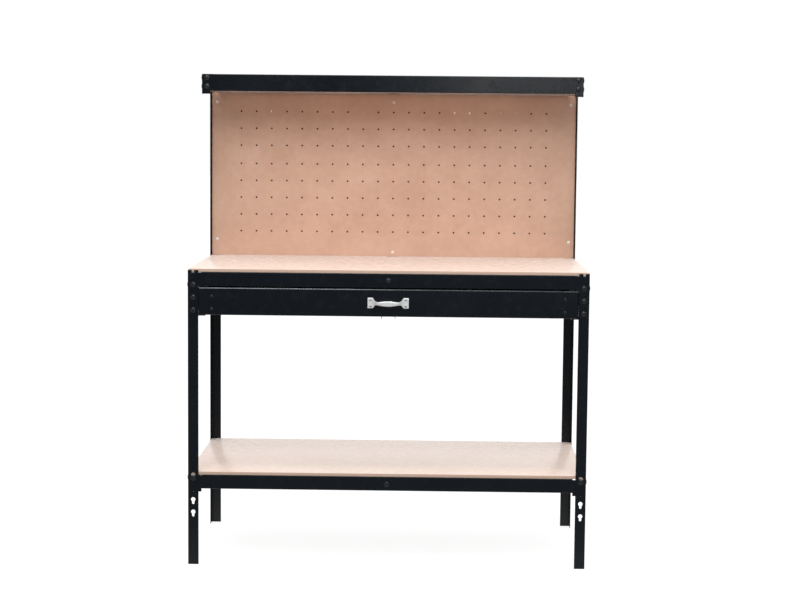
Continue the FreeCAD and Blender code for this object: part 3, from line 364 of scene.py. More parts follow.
@dataclass(frozen=True)
class Plated(Finish):
    """Bright metal plate with fine polishing lines and slight clouding."""

    bright: Colour = (0.80, 0.81, 0.82, 1.0)
    dull: Colour = (0.62, 0.63, 0.64, 1.0)
    roughness: float = 0.20
    metallic: float = 1.0
    lay: Tuple[float, float, float] = (12.0, 1.0, 1.0)
    relief: float = 0.012

    def shade(self, shading: Shading) -> None:
        """Mix the metal from clouds and polishing lines."""
        cloud = shading.noise(9.0, 4.0)
        lines = shading.noise(0.25, 2.0, self.lay)
        stain = shading.ramp(shading.noise(3.5, 5.0), (0.50, 0.0), (0.75, 1.0))
        shading.set(Base_Color=shading.mix(cloud * 0.7 + stain * 0.3, self.bright, self.dull),
                    Metallic=self.metallic, Roughness=self.roughness + (lines - 0.5) * 0.12 + stain * 0.08)
        shading.bump(lines * 0.7 + cloud * 0.3, self.relief, 0.5)


@dataclass(frozen=True)
class ZincPlate(Finish):
    """Zinc plate with its faint crystals, on nuts, rivets, pins and runners."""

    bright: Colour = (0.60, 0.62, 0.64, 1.0)
    dull: Colour = (0.42, 0.43, 0.43, 1.0)
    roughness: float = 0.34

    def shade(self, shading: Shading) -> None:
        """Mix the zinc from crystals and stains."""
        crystals = shading.cells(1.6)
        stain = shading.ramp(shading.noise(8.0, 6.0), (0.45, 0.0), (0.72, 1.0))
        fine = shading.noise(0.4, 2.0)
        shading.set(Base_Color=shading.mix(crystals * 0.45 + stain * 0.35, self.bright, self.dull),
                    Metallic=1.0, Roughness=self.roughness + (crystals - 0.5) * 0.12 + stain * 0.12)
        shading.bump(fine * 0.5 + crystals * 0.5, 0.015, 0.4)


@dataclass(frozen=True)
class BlackPlate(Finish):
    """Black plating on bolts and screws, worn a little brighter in spots."""

    black: Colour = (0.020, 0.022, 0.025, 1.0)
    worn: Colour = (0.09, 0.09, 0.095, 1.0)
    roughness: float = 0.25
    metallic: float = 0.35

    def shade(self, shading: Shading) -> None:
        """Mix the plating from wear and fine pits."""
        wear = shading.ramp(shading.noise(3.0, 5.0), (0.55, 0.0), (0.74, 1.0))
        pits = shading.noise(0.6, 3.0)
        shading.set(Base_Color=shading.mix(wear * 0.45, self.black, self.worn), Metallic=self.metallic,
                    Roughness=self.roughness + (pits - 0.5) * 0.18 + wear * 0.06)
        shading.bump(pits, 0.03, 0.4)


@dataclass(frozen=True)
class Nylon(Finish):
    """White moulded nylon with the faint rings of its mould."""

    white: Colour = (0.80, 0.79, 0.75, 1.0)
    yellowed: Colour = (0.68, 0.65, 0.56, 1.0)
    roughness: float = 0.42

    def shade(self, shading: Shading) -> None:
        """Mix the nylon from clouds and moulding marks."""
        cloud = shading.noise(5.0, 3.0)
        marks = shading.noise(0.7, 2.0, (0.3, 1.0, 1.0))
        shading.set(Base_Color=shading.mix(cloud * 0.6, self.white, self.yellowed),
                    Roughness=self.roughness + (marks - 0.5) * 0.2)
        shading.bump(marks, 0.03, 0.5)


@dataclass(frozen=True)
class PaintedHoleWeb(Finish):
    """Webs set half-way into the peg holes: dark ones are painted shade, pale ones painted light from the
    background behind; both have a fibre-like fuzz.
    """

    dark: Colour = (0.016, 0.008, 0.006, 1.0)
    brown: Colour = (0.060, 0.030, 0.020, 1.0)

    def shade(self, shading: Shading) -> None:
        """Mix the painted colour from fine and broad noise."""
        fuzz = shading.noise(0.5, 3.0)
        place = shading.noise(70.0, 3.0)
        shading.set(Base_Color=shading.mix(fuzz * 0.5 + shading.ramp(place, (0.4, 0.0), (0.6, 1.0)) * 0.5,
                                           self.dark, self.brown),
                    Roughness=0.9 + (fuzz - 0.5) * 0.1)
        shading.bump(fuzz, 0.2, 0.8)


FRAME_PAINT = PowderCoat("black_powder_coat", "black_steel")
DRAWER_PAINT = PowderCoat("black_powder_coat_drawer", "black_steel", roughness=0.27, peel=0.04)
# The drawer front's paint carries a painted highlight along its top edge.
FRONT_PAINT = HighlightedCoat("black_powder_coat_painted_highlight", "black_steel", roughness=0.27, peel=0.04)
# The lying boards are the standing board's fibreboard painted paler: painted light, since their tops catch
# more light.
LYING_BOARD = FibreBoard("fibreboard_lying", "raw_board", pale=(0.89, 0.70, 0.59, 1.0),
                         warm=(0.83, 0.62, 0.51, 1.0), fibre=(0.66, 0.46, 0.35, 1.0), sheen=0.7, grain=0.4)
STANDING_BOARD = FibreBoard("fibreboard_standing", "raw_board", face=Axis.Y, roughness=0.50)
BRIGHT = Plated("bright_plate_handle", "bright_plate", bright=(0.93, 0.94, 0.95, 1.0),
                dull=(0.80, 0.81, 0.82, 1.0), roughness=0.30, metallic=0.4)
SCREW_BRIGHT = Plated("bright_plate_screws", "zinc_plate", bright=(0.96, 0.93, 0.89, 1.0),
                      dull=(0.90, 0.86, 0.82, 1.0), roughness=0.24, metallic=0.1, lay=(1.0, 1.0, 1.0))
ZINC = ZincPlate("zinc_plate_small_parts", "zinc_plate")
BLACK_HEADS = BlackPlate("black_plate_bolts", "black_bolt")
NYLON = Nylon("white_nylon_rollers", "white_nylon")
# Painted shade: dark webs that make the peg holes look dark.
PEG_HOLE_SHADE = PaintedHoleWeb("painted_shade_hole_web", "raw_board")
# Painted light: pale webs stand in for the bright background seen through these holes.
PEG_HOLE_LIGHT = PaintedHoleWeb("painted_light_hole_web", "raw_board", dark=(0.50, 0.38, 0.30, 1.0),
                       brown=(0.78, 0.64, 0.54, 1.0))


# Pieces

def dress(node: str, finish: Finish) -> None:
    """Give a CAD node a finish in place of its plain material.

    Args:
        node: The node's name.
        finish: What it wears.
    """
    slots = frame["nodes"][node].material_slots
    for held in slots:
        held.material = finish.material()
    log.info("dressed %s in %s", node, finish.name)


def set_down(name: str, mesh: bpy.types.Mesh, finish: Finish, body: Body,
             stands_for: Sequence[str] = (), sharp: float = 32.0) -> bpy.types.Object:
    """Make an object of a finished mesh and let it ride on its body.

    Args:
        name: The piece's name.
        mesh: Its mesh, already in its place.
        finish: What it wears.
        body: The body that carries it.
        stands_for: The CAD nodes that it replaces.
        sharp: Edges that turn by more than this many degrees stay sharp.

    Returns:
        The object.
    """
    mesh.name = name
    mesh.shade_smooth()
    mesh.set_sharp_from_angle(angle=math.radians(sharp))
    mesh.materials.clear()
    mesh.materials.append(finish.material())
    piece = bpy.data.objects.new(name, mesh)
    bpy.context.scene.collection.objects.link(piece)
    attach(piece, body.value)
    if stands_for:
        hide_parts(*stands_for)
    log.info("built %s: %d faces", name, len(mesh.polygons))
    return piece


def merged(node: str) -> bmesh.types.BMesh:
    """Return a merged copy of a CAD node's loose triangles."""
    copy = bmesh.new()
    copy.from_mesh(frame["nodes"][node].data)
    bmesh.ops.remove_doubles(copy, verts=copy.verts, dist=1e-6)
    return copy


@dataclass
class Fastening:
    """Where one fastener of a CAD group sits, read from its solid."""

    seat: Vector
    way: Vector
    head: float
    reach: float
    middle: Vector

    @classmethod
    def read(cls, corners: Sequence[Vector]) -> "Fastening":
        """Read a turned solid that lies along one axis.

        Args:
            corners: All the points of the solid.

        Returns:
            Its seat, the way from its head to its tip, its head's height and its reach past the seat.
        """
        low = Vector(min(c[i] for c in corners) for i in range(3))
        high = Vector(max(c[i] for c in corners) for i in range(3))
        size = high - low
        along = min(range(3), key=lambda i: abs(size[(i + 1) % 3] - size[(i + 2) % 3]))
        middle = (low + high) / 2
        arms = [corner - middle for corner in corners]
        for arm in arms:
            arm[along] = 0.0
        widest = max(arm.length for arm in arms)
        rim = [corner[along] for corner, arm in zip(corners, arms) if arm.length > widest * 0.98]
        forward = 1.0 if sum(rim) / len(rim) < middle[along] else -1.0
        level = max(rim) if forward > 0 else min(rim)
        seat = middle.copy()
        seat[along] = level
        way = Vector(forward * float(i == along) for i in range(3))
        head = (level - low[along]) if forward > 0 else (high[along] - level)
        return cls(seat, way, head, size[along] - head, middle)

    @classmethod
    def all_of(cls, node: str) -> List["Fastening"]:
        """Return the fastenings of all the solids of a CAD group."""
        copy = merged(node)
        left, found = set(copy.verts), []
        while left:
            edge, island = [left.pop()], []
            while edge:
                vertex = edge.pop()
                island.append(vertex.co.copy())
                near = {link.other_vert(vertex) for link in vertex.link_edges} & left
                left -= near
                edge += near
            found.append(cls.read(island))
        copy.free()
        return sorted(found, key=lambda item: tuple(round(value, 5) for value in item.seat))


# Geometry Nodes for what repeats

class Growing(Graph):
    """A Geometry Nodes tree that sets one shape down on every point of a mesh."""

    def __init__(self, name: str) -> None:
        """Add the tree with its geometry input and output."""
        super().__init__(bpy.data.node_groups.new(name, "GeometryNodeTree"))
        self.tree.interface.new_socket("Geometry", in_out="INPUT", socket_type="NodeSocketGeometry")
        self.tree.interface.new_socket("Geometry", in_out="OUTPUT", socket_type="NodeSocketGeometry")
        self.inlet = self.node("NodeGroupInput")
        self.values: Dict[str, float] = {}

    def size(self, name: str, millimetres: float) -> Socket:
        """Add a named input for a size and return its socket, which is in metres."""
        socket = self.tree.interface.new_socket(name, in_out="INPUT", socket_type="NodeSocketFloat")
        self.values[socket.identifier] = millimetres * MM
        return Socket(self, self.inlet.outputs[name])

    def lifted(self, height: Number) -> Socket:
        """Return the vector that points up by a height."""
        return self.out("ShaderNodeCombineXYZ", {}, {2: height})

    def turned(self, rings: Sequence[Tuple[Number, Number]], sides: int) -> Socket:
        """Return a closed turned solid about the z axis.

        Args:
            rings: The radius and the level of each ring, from the lowest to the highest.
            sides: How many sides it has.

        Returns:
            The mesh.
        """
        radius, level = rings[0]
        disc = self.out("GeometryNodeMeshCircle", {"fill_type": "NGON"}, {
            "Vertices": sides, "Radius": radius})
        disc = self.out("GeometryNodeTransform", {}, {"Geometry": disc, "Translation": self.lifted(level)})
        foot = self.out("GeometryNodeFlipFaces", {}, {"Mesh": disc})
        solid, top = disc, True
        for next_radius, next_level in rings[1:]:
            drawn = self.node("GeometryNodeExtrudeMesh", {"mode": "FACES"}, {
                "Mesh": solid, "Selection": top, "Offset": self.lifted(next_level - level),
                "Offset Scale": 1.0, "Individual": False})
            top = Socket(self, drawn.outputs["Top"])
            solid = self.out("GeometryNodeScaleElements", {"domain": "FACE"}, {
                "Geometry": Socket(self, drawn.outputs["Mesh"]), "Selection": top,
                "Scale": next_radius / radius})
            radius, level = next_radius, next_level
        both = self.joined(solid, foot)
        return self.out("GeometryNodeMergeByDistance", {}, {"Geometry": both, "Distance": 1e-7})

    def joined(self, *parts: Socket) -> Socket:
        """Return several meshes as one."""
        joint = self.node("GeometryNodeJoinGeometry")
        for part in parts:
            self.tree.links.new(part.output, joint.inputs[0])
        return Socket(self, joint.outputs[0])

    def boolean(self, operation: str, first: Socket, second: Socket) -> Socket:
        """Return the difference or the intersection of two meshes."""
        made = self.node("GeometryNodeMeshBoolean", {"operation": operation, "solver": "EXACT"})
        ports = (0, 1) if operation == "DIFFERENCE" else (1, 1)
        for part, port in zip((first, second), ports):
            self.tree.links.new(part.output, made.inputs[port])
        return Socket(self, made.outputs[0])

    def close(self, shape: Socket, finish: Finish, seed: int, twist: float) -> None:
        """End the tree: the shape on every point, made real and dressed.

        Args:
            shape: The mesh to set down, with its head up.
            finish: What it wears.
            seed: The seed of the turns.
            twist: How far each one may be turned about its own axis, in radians.
        """
        way = self.out("GeometryNodeInputNamedAttribute", {"data_type": "FLOAT_VECTOR"}, {"Name": "up"})
        turn = self.out("FunctionNodeAlignRotationToVector", {"axis": "Z"}, {"Vector": way})
        placed = self.out("GeometryNodeInstanceOnPoints", {}, {
            "Points": Socket(self, self.inlet.outputs["Geometry"]), "Instance": shape, "Rotation": turn})
        chance = self.node("FunctionNodeRandomValue", {"data_type": "FLOAT"}, {
            2: 0.0, 3: twist, "Seed": seed})
        spin = self.out("ShaderNodeCombineXYZ", {}, {2: Socket(self, chance.outputs[1])})
        placed = self.out("GeometryNodeRotateInstances", {}, {
            "Instances": placed, "Rotation": spin, "Local Space": True})
        real = self.out("GeometryNodeRealizeInstances", {}, {"Geometry": placed})
        dressed = self.out("GeometryNodeSetMaterial", {}, {"Geometry": real, "Material": finish.material()})
        self.node("NodeGroupOutput", {}, {"Geometry": dressed})

    def grow(self, points: Sequence[Tuple[Vector, Vector]]) -> bpy.types.Mesh:
        """Set the shape down on points and return the result as a plain mesh.

        Args:
            points: The place and the up direction of each shape.

        Returns:
            The mesh of them all.
        """
        seeds = bpy.data.meshes.new("points")
        seeds.from_pydata([place for place, _ in points], [], [])
        ups = seeds.attributes.new("up", "FLOAT_VECTOR", "POINT")
        ups.data.foreach_set("vector", [value for _, up in points for value in up])
        carrier = bpy.data.objects.new("points", seeds)
        bpy.context.scene.collection.objects.link(carrier)
        nodes = carrier.modifiers.new("grow", "NODES")
        nodes.node_group = self.tree
        for identifier, value in self.values.items():
            nodes[identifier] = value
        evaluated = carrier.evaluated_get(bpy.context.evaluated_depsgraph_get())
        mesh = bpy.data.meshes.new_from_object(evaluated)
        carrier.modifiers.remove(nodes)
        bpy.data.objects.remove(carrier)
        return mesh


@dataclass
class HeadedPins:
    """Bolts, screws or rivets of one kind, which stand for a CAD group."""

    name: str
    node: str
    finish: Finish
    body: Body
    head_radius: float
    shank_radius: float
    pitch: float = 1.25
    dome: Sequence[Tuple[float, float]] = ((1.0, 0.0), (1.0, 0.22), (0.93, 0.48), (0.76, 0.74),
                                          (0.50, 0.92), (0.20, 1.0))
    threads: int = 5
    recess: float = 0.0
    upset: float = 0.0
    sides: int = 24

    def tree(self, head: float, reach: float) -> Growing:
        """Return the tree of one fastener.

        Args:
            head: The height of its head, in millimetres.
            reach: How far it reaches past its seat, in millimetres.

        Returns:
            The closed tree, which takes the seats as points.
        """
        growing = Growing(self.name)
        wide, tall = growing.size("Head radius", self.head_radius), growing.size("Head height", head)
        shank, depth = growing.size("Shank radius", self.shank_radius), growing.size("Reach", reach)
        pitch = growing.size("Thread pitch", self.pitch)
        if self.upset:
            tail = growing.size("Upset radius", self.upset)
            rings = [(tail * 0.45, -depth), (tail * 0.85, pitch * 0.35 - depth), (tail, pitch * 0.9 - depth),
                     (shank, pitch * 0.95 - depth)]
        else:
            rings = [(shank * 0.78, -depth), (shank * 0.98, pitch * 0.35 - depth)]
            for turn in range(self.threads):
                rings += [(shank * 0.86, pitch * (turn + 0.85) - depth),
                          (shank * 0.99, pitch * (turn + 1.35) - depth)]
        rings.append((shank, pitch * -0.1))
        rings += [(wide * across, tall * up) for across, up in self.dome]
        solid = growing.turned(rings, self.sides)
        if self.recess:
            slot = growing.size("Recess length", self.recess)
            for sizes in ((slot, slot * 0.24), (slot * 0.24, slot)):
                block = growing.out("GeometryNodeMeshCube", {}, {
                    "Size": growing.out("ShaderNodeCombineXYZ", {}, {0: sizes[0], 1: sizes[1], 2: tall})})
                block = growing.out("GeometryNodeTransform", {}, {
                    "Geometry": block, "Translation": growing.lifted(tall * 0.95)})
                solid = growing.boolean("DIFFERENCE", solid, block)
        growing.close(solid, self.finish, seed=7, twist=math.tau if self.recess else 0.2)
        return growing

    def build(self) -> None:
        """Read the seats from the CAD group and grow the fasteners on them, one batch for each length."""
        batches: Dict[Tuple[float, float], List[Tuple[Vector, Vector]]] = defaultdict(list)
        for item in Fastening.all_of(self.node):
            sizes = (round(item.head / MM, 2), round(item.reach / MM, 2))
            batches[sizes].append((item.seat, -item.way))
        whole = bmesh.new()
        for (head, reach), points in sorted(batches.items()):
            mesh = self.tree(head, reach).grow(points)
            whole.from_mesh(mesh)
            bpy.data.meshes.remove(mesh)
        bmesh.ops.recalc_face_normals(whole, faces=whole.faces)
        mesh = bpy.data.meshes.new(self.name)
        whole.to_mesh(mesh)
        whole.free()
        set_down(self.name, mesh, self.finish, self.body, [self.node], 40.0)


@dataclass
class HexNuts:
    """Hexagon nuts of one kind, chamfered at both ends, which stand for CAD groups."""

    name: str
    nodes: Sequence[str]
    finish: Finish
    body: Body
    flats: float
    height: float
    bore: float

    def tree(self) -> Growing:
        """Return the tree of one nut, centred on its point."""
        growing = Growing(self.name)
        flats, tall = growing.size("Width over flats", self.flats), growing.size("Height", self.height)
        bore = growing.size("Bore radius", self.bore)
        corner, half = flats / math.sqrt(3.0), tall / 2.0
        prism = growing.turned([(corner, -half), (corner, half)], 6)
        barrel = growing.turned([(corner * 0.84, half * -1.01), (corner * 1.02, half * -0.70),
                                 (corner * 1.02, half * 0.70), (corner * 0.84, half * 1.01)], 36)
        hole = growing.turned([(bore * 1.18, half * -1.1), (bore * 1.12, half * -0.98),
                               (bore, half * -0.80), (bore, half * 0.80),
                               (bore * 1.12, half * 0.98), (bore * 1.18, half * 1.1)], 24)
        nut = growing.boolean("DIFFERENCE", growing.boolean("INTERSECT", prism, barrel), hole)
        growing.close(nut, self.finish, seed=23, twist=math.tau)
        return growing

    def build(self) -> None:
        """Grow the nuts where the CAD nuts are."""
        points = [(item.middle, item.way) for node in self.nodes for item in Fastening.all_of(node)]
        mesh = self.tree().grow(points)
        set_down(self.name, mesh, self.finish, self.body, self.nodes, 30.0)


# Sub-assemblies

@dataclass
class SteelFrame:
    """The folded and angled steel that carries the bench."""

    sides: Sequence[str] = ("left", "right")
    paired: Sequence[str] = ("leg_front_", "leg_rear_", "post_", "top_corner_", "joint_plate_",
                             "drawer_hanger_", "upper_side_beam_", "lower_side_beam_", "tray_side_beam_")
    single: Sequence[str] = ("upper_front_beam", "upper_rear_beam", "lower_front_beam", "lower_rear_beam",
                             "tray_front_beam", "tray_rear_beam", "worktop_brace", "shelf_brace",
                             "pegboard_strut")

    def build(self) -> None:
        """Dress every steel piece of the frame."""
        for node in [stem + side for stem in self.paired for side in self.sides] + list(self.single):
            dress(node, FRAME_PAINT)
        for side in self.sides:
            dress(f"cabinet_runner_{side}", ZINC)


@dataclass
class Boards:
    """The lying boards, with slightly broken edges, and the pegboard with its holes."""

    lying: Mapping[str, str] = field(default_factory=lambda: {
        "worktop": "worktop_board", "lower_shelf": "lower_shelf_board", "tray_floor": "top_shelf_board"})
    broken_edge: float = 0.3
    hole_radius: float = 3.0
    columns: int = 21
    column_pitch: float = 50.0
    rows: Sequence[float] = (1371.0, 1315.6, 1260.2, 1200.2, 1144.8, 1089.4, 1034.0, 978.6)
    half_open_holes: Sequence[Tuple[int, int]] = ((0, 2), (0, 14), (0, 15))
    # holes whose webs are painted pale, as light from the background behind
    pale_holes: Sequence[Tuple[int, int]] = ((0, 8), (0, 17), (0, 18))
    web_lean: float = 1.6
    web_depth: float = 3.0

    def build(self) -> None:
        """Build the lying boards and dress the pegboard."""
        for name, node in self.lying.items():
            self.lay(name, node)
        dress("pegboard", STANDING_BOARD)
        self.fill_holes()

    def lay(self, name: str, node: str) -> None:
        """Build one lying board as a copy of its CAD board with its edges broken.

        Args:
            name: The piece's name.
            node: The CAD board.
        """
        board = merged(node)
        bmesh.ops.dissolve_limit(board, angle_limit=0.01, verts=board.verts, edges=board.edges)
        bmesh.ops.bevel(board, geom=board.edges, offset=self.broken_edge * MM, segments=2, profile=0.6,
                        affect="EDGES", clamp_overlap=True)
        bmesh.ops.recalc_face_normals(board, faces=board.faces)
        mesh = bpy.data.meshes.new(name)
        board.to_mesh(mesh)
        board.free()
        set_down(name, mesh, LYING_BOARD, Body.BENCH, [node], 50.0)

    def fill_holes(self) -> None:
        """Put a web half-way into each peg hole: dark as painted shade, or pale as painted light from the
        background behind; a few webs lean to one side.
        """
        low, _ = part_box("pegboard")
        spots: Dict[bool, List[Tuple[Vector, Vector]]] = {True: [], False: []}
        for row, level in enumerate(self.rows):
            for column in range(self.columns):
                across = (column - (self.columns - 1) / 2) * self.column_pitch
                half_open = (row, column) in self.half_open_holes
                if half_open:
                    across += self.web_lean
                # half-open and pale holes take the pale web of painted light; the rest take the dark web of
                # painted shade
                spots[half_open or (row, column) in self.pale_holes].append(
                    (Vector((across * MM, low.y, level * MM)), Vector((0.0, -1.0, 0.0))))
        self.hole_webs("peg_holes_painted_shade", PEG_HOLE_SHADE, spots[False])
        self.hole_webs("peg_holes_painted_light", PEG_HOLE_LIGHT, spots[True])

    def hole_webs(self, name: str, finish: Finish, spots: Sequence[Tuple[Vector, Vector]]) -> None:
        """Grow one web in each hole.

        Args:
            name: The piece's name.
            finish: The painted shade or painted light of the webs.
            spots: The middle of each hole on the board's face, and the way that the face looks.
        """
        growing = Growing(name)
        radius, deep = growing.size("Hole radius", self.hole_radius), growing.size("Depth", self.web_depth)
        web = growing.turned([(radius * 1.02, -deep * 0.8), (radius * 1.02, -deep * 0.45)], 12)
        growing.close(web, finish, seed=3, twist=math.tau)
        set_down(name, growing.grow(spots), finish, Body.BENCH)


@dataclass
class BowHandle:
    """The cast bow handle: two foot plates, two necks and a grip that swells in the middle."""

    stations: Sequence[Tuple[float, float, float, float]] = (
        # distance from the middle, half height, front and back above the drawer, all in mm
        (0.0, 7.9, 29.9, 24.0), (10.0, 7.6, 29.9, 24.0), (20.0, 6.2, 29.9, 23.6), (27.5, 5.1, 28.6, 20.5),
        (33.0, 5.0, 25.0, 14.5), (37.0, 5.6, 19.0, 8.0), (40.5, 8.2, 12.5, 3.6), (43.2, 12.4, 7.2, 1.0),
        (45.2, 15.0, 4.4, 0.1), (48.0, 15.9, 3.1, 0.0), (60.4, 15.9, 3.0, 0.0), (61.2, 15.7, 2.8, 0.1),
        (61.5, 15.2, 2.3, 0.5))
    steps: int = 5
    points: int = 28

    def section(self, x: float, half: float, front: float, back: float) -> List[Vector]:
        """Return the points of one rounded section, which lies across the x axis."""
        low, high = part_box("drawer_handle")
        middle = (low.z + high.z) / 2
        deep = (front - back) / 2
        ring = []
        for index in range(self.points):
            angle = math.tau * index / self.points
            power = 0.45 if half > deep * 2 else 0.62
            up = math.copysign(abs(math.sin(angle)) ** power, math.sin(angle))
            out = math.copysign(abs(math.cos(angle)) ** power, math.cos(angle))
            ring.append(Vector((x * MM, high.y - (back + deep + deep * out) * MM, middle + half * up * MM)))
        return ring

    def build(self) -> None:
        """Loft the sections from one end to the other and close both ends."""
        half_run = []
        for first, last in zip(self.stations, self.stations[1:]):
            for step in range(self.steps):
                share = step / self.steps
                half_run.append([a + (b - a) * share for a, b in zip(first, last)])
        half_run.append(list(self.stations[-1]))
        run = [[-item[0], *item[1:]] for item in half_run[:0:-1]] + half_run
        shape = bmesh.new()
        rings = [[shape.verts.new(point) for point in self.section(*item)] for item in run]
        for left, right in zip(rings, rings[1:]):
            for index in range(self.points):
                after = (index + 1) % self.points
                shape.faces.new((left[index], left[after], right[after], right[index]))
        shape.faces.new(rings[0])
        shape.faces.new(rings[-1][::-1])
        for _ in range(3):
            inner = [v for ring in rings[1:-1] for v in ring]
            bmesh.ops.smooth_vert(shape, verts=inner, factor=0.35, use_axis_x=True, use_axis_y=True,
                                  use_axis_z=True)
        bmesh.ops.recalc_face_normals(shape, faces=shape.faces)
        mesh = bpy.data.meshes.new("bow_handle")
        shape.to_mesh(mesh)
        shape.free()
        set_down("bow_handle", mesh, BRIGHT, Body.DRAWER, ["drawer_handle"], 50.0)


@dataclass
class Drawer:
    """The drawer's sheets, its rails and its handle."""

    sheets: Sequence[str] = ("drawer_side_left", "drawer_side_right", "drawer_bottom", "drawer_back",
                             "drawer_stiffener")
    handle: BowHandle = field(default_factory=BowHandle)

    def build(self) -> None:
        """Dress the sheets and the rails, and build the handle."""
        dress("drawer_front", FRONT_PAINT)
        for node in self.sheets:
            dress(node, DRAWER_PAINT)
        for side in ("left", "right"):
            dress(f"drawer_rail_{side}", ZINC)
            dress(f"drawer_roller_{side}", NYLON)
            dress(f"cabinet_roller_{side}", NYLON)
        dress("drawer_roller_pins", ZINC)
        dress("cabinet_roller_pins", ZINC)
        self.handle.build()


@dataclass
class Fasteners:
    """All the bolts, screws, nuts and rivets."""

    pins: Sequence[HeadedPins] = (
        HeadedPins("frame_bolt_heads", "frame_bolts", BLACK_HEADS, Body.BENCH, 8.5, 3.0, 1.0),
        HeadedPins("pegboard_screw_heads", "pegboard_screws", SCREW_BRIGHT, Body.BENCH, 5.0, 2.5, 0.8,
                   recess=5.2),
        HeadedPins("front_screw_heads", "front_panel_screws", BLACK_HEADS, Body.DRAWER, 5.0, 2.5, 0.8,
                   recess=5.2),
        HeadedPins("handle_screw_heads", "handle_screws", ZINC, Body.DRAWER, 3.5, 2.0, 0.7, recess=3.8),
        HeadedPins("runner_rivet_heads", "runner_rivets", ZINC, Body.BENCH, 4.5, 2.0, 0.5, upset=4.4,
                   sides=18),
        HeadedPins("slide_rivet_heads", "slide_rivets", ZINC, Body.DRAWER, 4.5, 2.0, 0.5, upset=4.4,
                   sides=18),
    )
    nuts: Sequence[HexNuts] = (
        HexNuts("frame_hex_nuts", ("frame_nuts", "strut_nut"), ZINC, Body.BENCH, 10.0, 5.0, 3.05),
        HexNuts("pegboard_hex_nuts", ("pegboard_nuts",), ZINC, Body.BENCH, 8.0, 3.6, 2.55),
        HexNuts("front_hex_nuts", ("front_panel_nuts",), ZINC, Body.DRAWER, 8.0, 3.6, 2.55),
        HexNuts("handle_hex_nuts", ("handle_nuts",), ZINC, Body.DRAWER, 7.0, 3.2, 2.05),
    )

    def build(self) -> None:
        """Grow every group."""
        for group in (*self.pins, *self.nuts):
            group.build()


# Studio

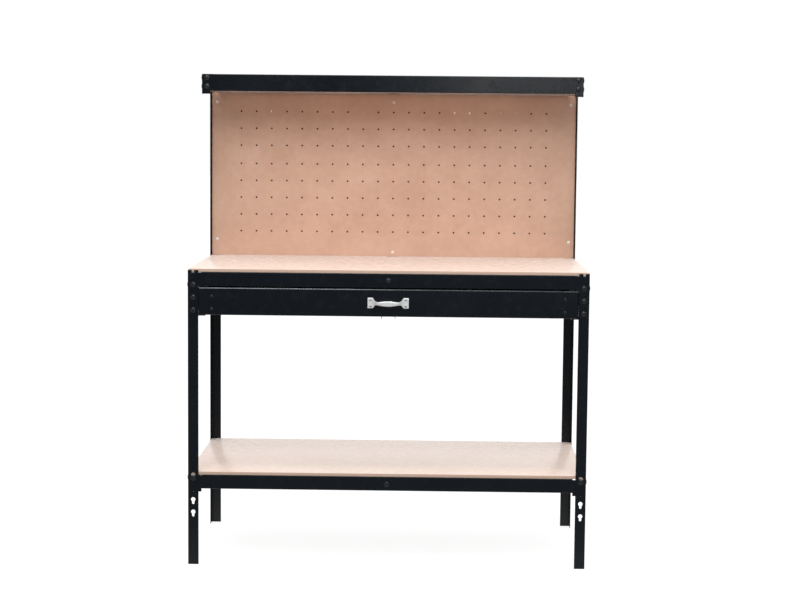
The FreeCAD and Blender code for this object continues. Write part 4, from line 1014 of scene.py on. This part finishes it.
@dataclass
class Studio:
    """A pale floor, soft lamps and the camera at the photograph's place."""

    place: Tuple[float, float, float] = (0.119, -5.74895, 1.3329)
    yaw: float = -0.895
    pitch: float = 5.46
    roll: float = 0.53
    focal_pixels: float = 1838.6
    image_width: float = 799.0
    ambient: float = 0.62
    rear_ambient: float = 1.28
    dim_room: float = 0.12
    floor_white: float = 0.88
    floor_grey: Colour = (0.22, 0.22, 0.22, 1.0)
    floor_side: float = 40.0
    white: Colour = (1.0, 1.0, 1.0, 1.0)

    def camera(self) -> None:
        """Make the camera from its place, its angles and its focal length."""
        yaw, pitch, roll = (math.radians(value) for value in (self.yaw, self.pitch, self.roll))
        forward = Vector((math.sin(yaw) * math.cos(pitch), math.cos(yaw) * math.cos(pitch), -math.sin(pitch)))
        level = Vector((math.cos(yaw), -math.sin(yaw), 0.0))
        upright = level.cross(forward)
        right = level * math.cos(roll) + upright * math.sin(roll)
        up = upright * math.cos(roll) - level * math.sin(roll)
        data = bpy.data.cameras.new("camera")
        data.sensor_width = 36.0
        data.lens = self.focal_pixels * data.sensor_width / self.image_width
        data.clip_end = 200.0
        camera = bpy.data.objects.new("camera", data)
        turn = Matrix((right, up, -forward)).transposed().to_4x4()
        camera.matrix_world = Matrix.Translation(Vector(self.place)) @ turn
        bpy.context.scene.collection.objects.link(camera)
        bpy.context.scene.camera = camera

    def shown(self, graph: Graph, depth: Socket, start: float, end: float) -> Socket:
        """Return how much of the white background a ray is shown.

        Args:
            graph: The tree of the world or of the floor.
            depth: How far to the rear the ray comes from.
            start: The depth from which the background is reflected.
            end: The depth at which it is reflected in full.

        Returns:
            1 for rays from the camera and through glass; for reflections, the share that lies behind
            the bench, because the room in front of it is dimmer.
        """
        path = graph.node("ShaderNodeLightPath")
        camera, gloss, glass = (Socket(graph, path.outputs[name]) for name in
                                ("Is Camera Ray", "Is Glossy Ray", "Is Transmission Ray"))
        behind = graph.out("ShaderNodeMapRange", {"clamp": True}, {0: depth, 1: start, 2: end})
        return graph.maths("MINIMUM", camera + glass + gloss * behind, 1.0)

    def world(self) -> None:
        """Light the scene softly from all round, and more from the rear, before a white background."""
        world = bpy.data.worlds.new("studio")
        world.use_nodes = True
        graph = Graph(world.node_tree)
        heading = graph.node("ShaderNodeTexCoord")
        split = graph.node("ShaderNodeSeparateXYZ", {}, {0: Socket(graph, heading.outputs["Generated"])})
        depth = Socket(graph, split.outputs["Y"])
        shown = self.shown(graph, depth, -0.35, 0.15)
        path = graph.node("ShaderNodeLightPath")
        glow_by_depth = graph.out("ShaderNodeMapRange", {"clamp": True}, {
            0: depth, 1: -0.1, 2: 0.4, 3: self.ambient, 4: self.rear_ambient})
        gloss = Socket(graph, path.outputs["Is Glossy Ray"])
        room = glow_by_depth * (1.0 - gloss) + gloss * self.dim_room
        glow = graph.out("ShaderNodeBackground", {}, {
            "Color": self.white, "Strength": room * (1.0 - shown) + shown})
        graph.node("ShaderNodeOutputWorld", {}, {"Surface": glow})
        bpy.context.scene.world = world

    def floor(self) -> None:
        """Lay a pale floor that shows white and keeps the bench's shadow."""
        mesh = bpy.data.meshes.new("studio_floor")
        side = self.floor_side
        mesh.from_pydata([(-side, -side, 0), (side, -side, 0), (side, side, 0), (-side, side, 0)], [],
                         [(0, 1, 2, 3)])
        material = bpy.data.materials.new("studio_floor")
        material.use_nodes = True
        graph = Graph(material.node_tree)
        spot = graph.node("ShaderNodeNewGeometry")
        split = graph.node("ShaderNodeSeparateXYZ", {}, {0: Socket(graph, spot.outputs["Position"])})
        shown = self.shown(graph, Socket(graph, split.outputs["Y"]), -1.0, 0.3)
        matt = graph.out("ShaderNodeBsdfDiffuse", {}, {"Color": self.floor_grey})
        white = graph.out("ShaderNodeEmission", {}, {
            "Color": self.white, "Strength": shown * self.floor_white})
        both = graph.out("ShaderNodeAddShader", {}, {0: matt, 1: white})
        graph.node("ShaderNodeOutputMaterial", {}, {"Surface": both})
        mesh.materials.append(material)
        floor = bpy.data.objects.new("studio_floor", mesh)
        bpy.context.scene.collection.objects.link(floor)

    def lamp(self, name: str, place: Sequence[float], aim: Sequence[float], size: Tuple[float, float],
             watts: float) -> None:
        """Hang one soft lamp.

        Args:
            name: Its name.
            place: Where it hangs.
            aim: The point that it shines at.
            size: Its width and height in metres.
            watts: Its power.
        """
        data = bpy.data.lights.new(name, "AREA")
        data.shape, data.size, data.size_y, data.energy = "RECTANGLE", size[0], size[1], watts
        lamp = bpy.data.objects.new(name, data)
        lamp.matrix_world = Matrix.Translation(Vector(place)) @ (
            Vector(aim) - Vector(place)).to_track_quat("-Z", "Y").to_matrix().to_4x4()
        lamp.visible_camera = False
        bpy.context.scene.collection.objects.link(lamp)

    def build(self) -> None:
        """Build the whole studio."""
        self.camera()
        self.world()
        self.floor()
        self.lamp("front_lamp", (0.0, -3.6, 3.8), (0.0, 0.3, 1.1), (4.5, 2.4), 115.0)
        self.lamp("top_lamp", (0.0, -1.0, 4.0), (0.0, -0.3, 0.8), (1.9, 0.7), 38.0)
        self.lamp("right_panel", (0.65, -4.0, 1.60), (0.45, 0.0, 1.46), (0.75, 0.35), 6.0)
        view = bpy.context.scene.view_settings
        view.view_transform = "Standard"
        log.info("built the studio")


def main() -> None:
    """Build the bench and its studio in order."""
    logging.basicConfig(level=logging.INFO, format="%(name)s: %(message)s")
    for part in (Studio(), SteelFrame(), Boards(), Drawer(), Fasteners()):
        log.info("building %s", type(part).__name__)
        part.build()


if __name__ == "__main__":
    main()
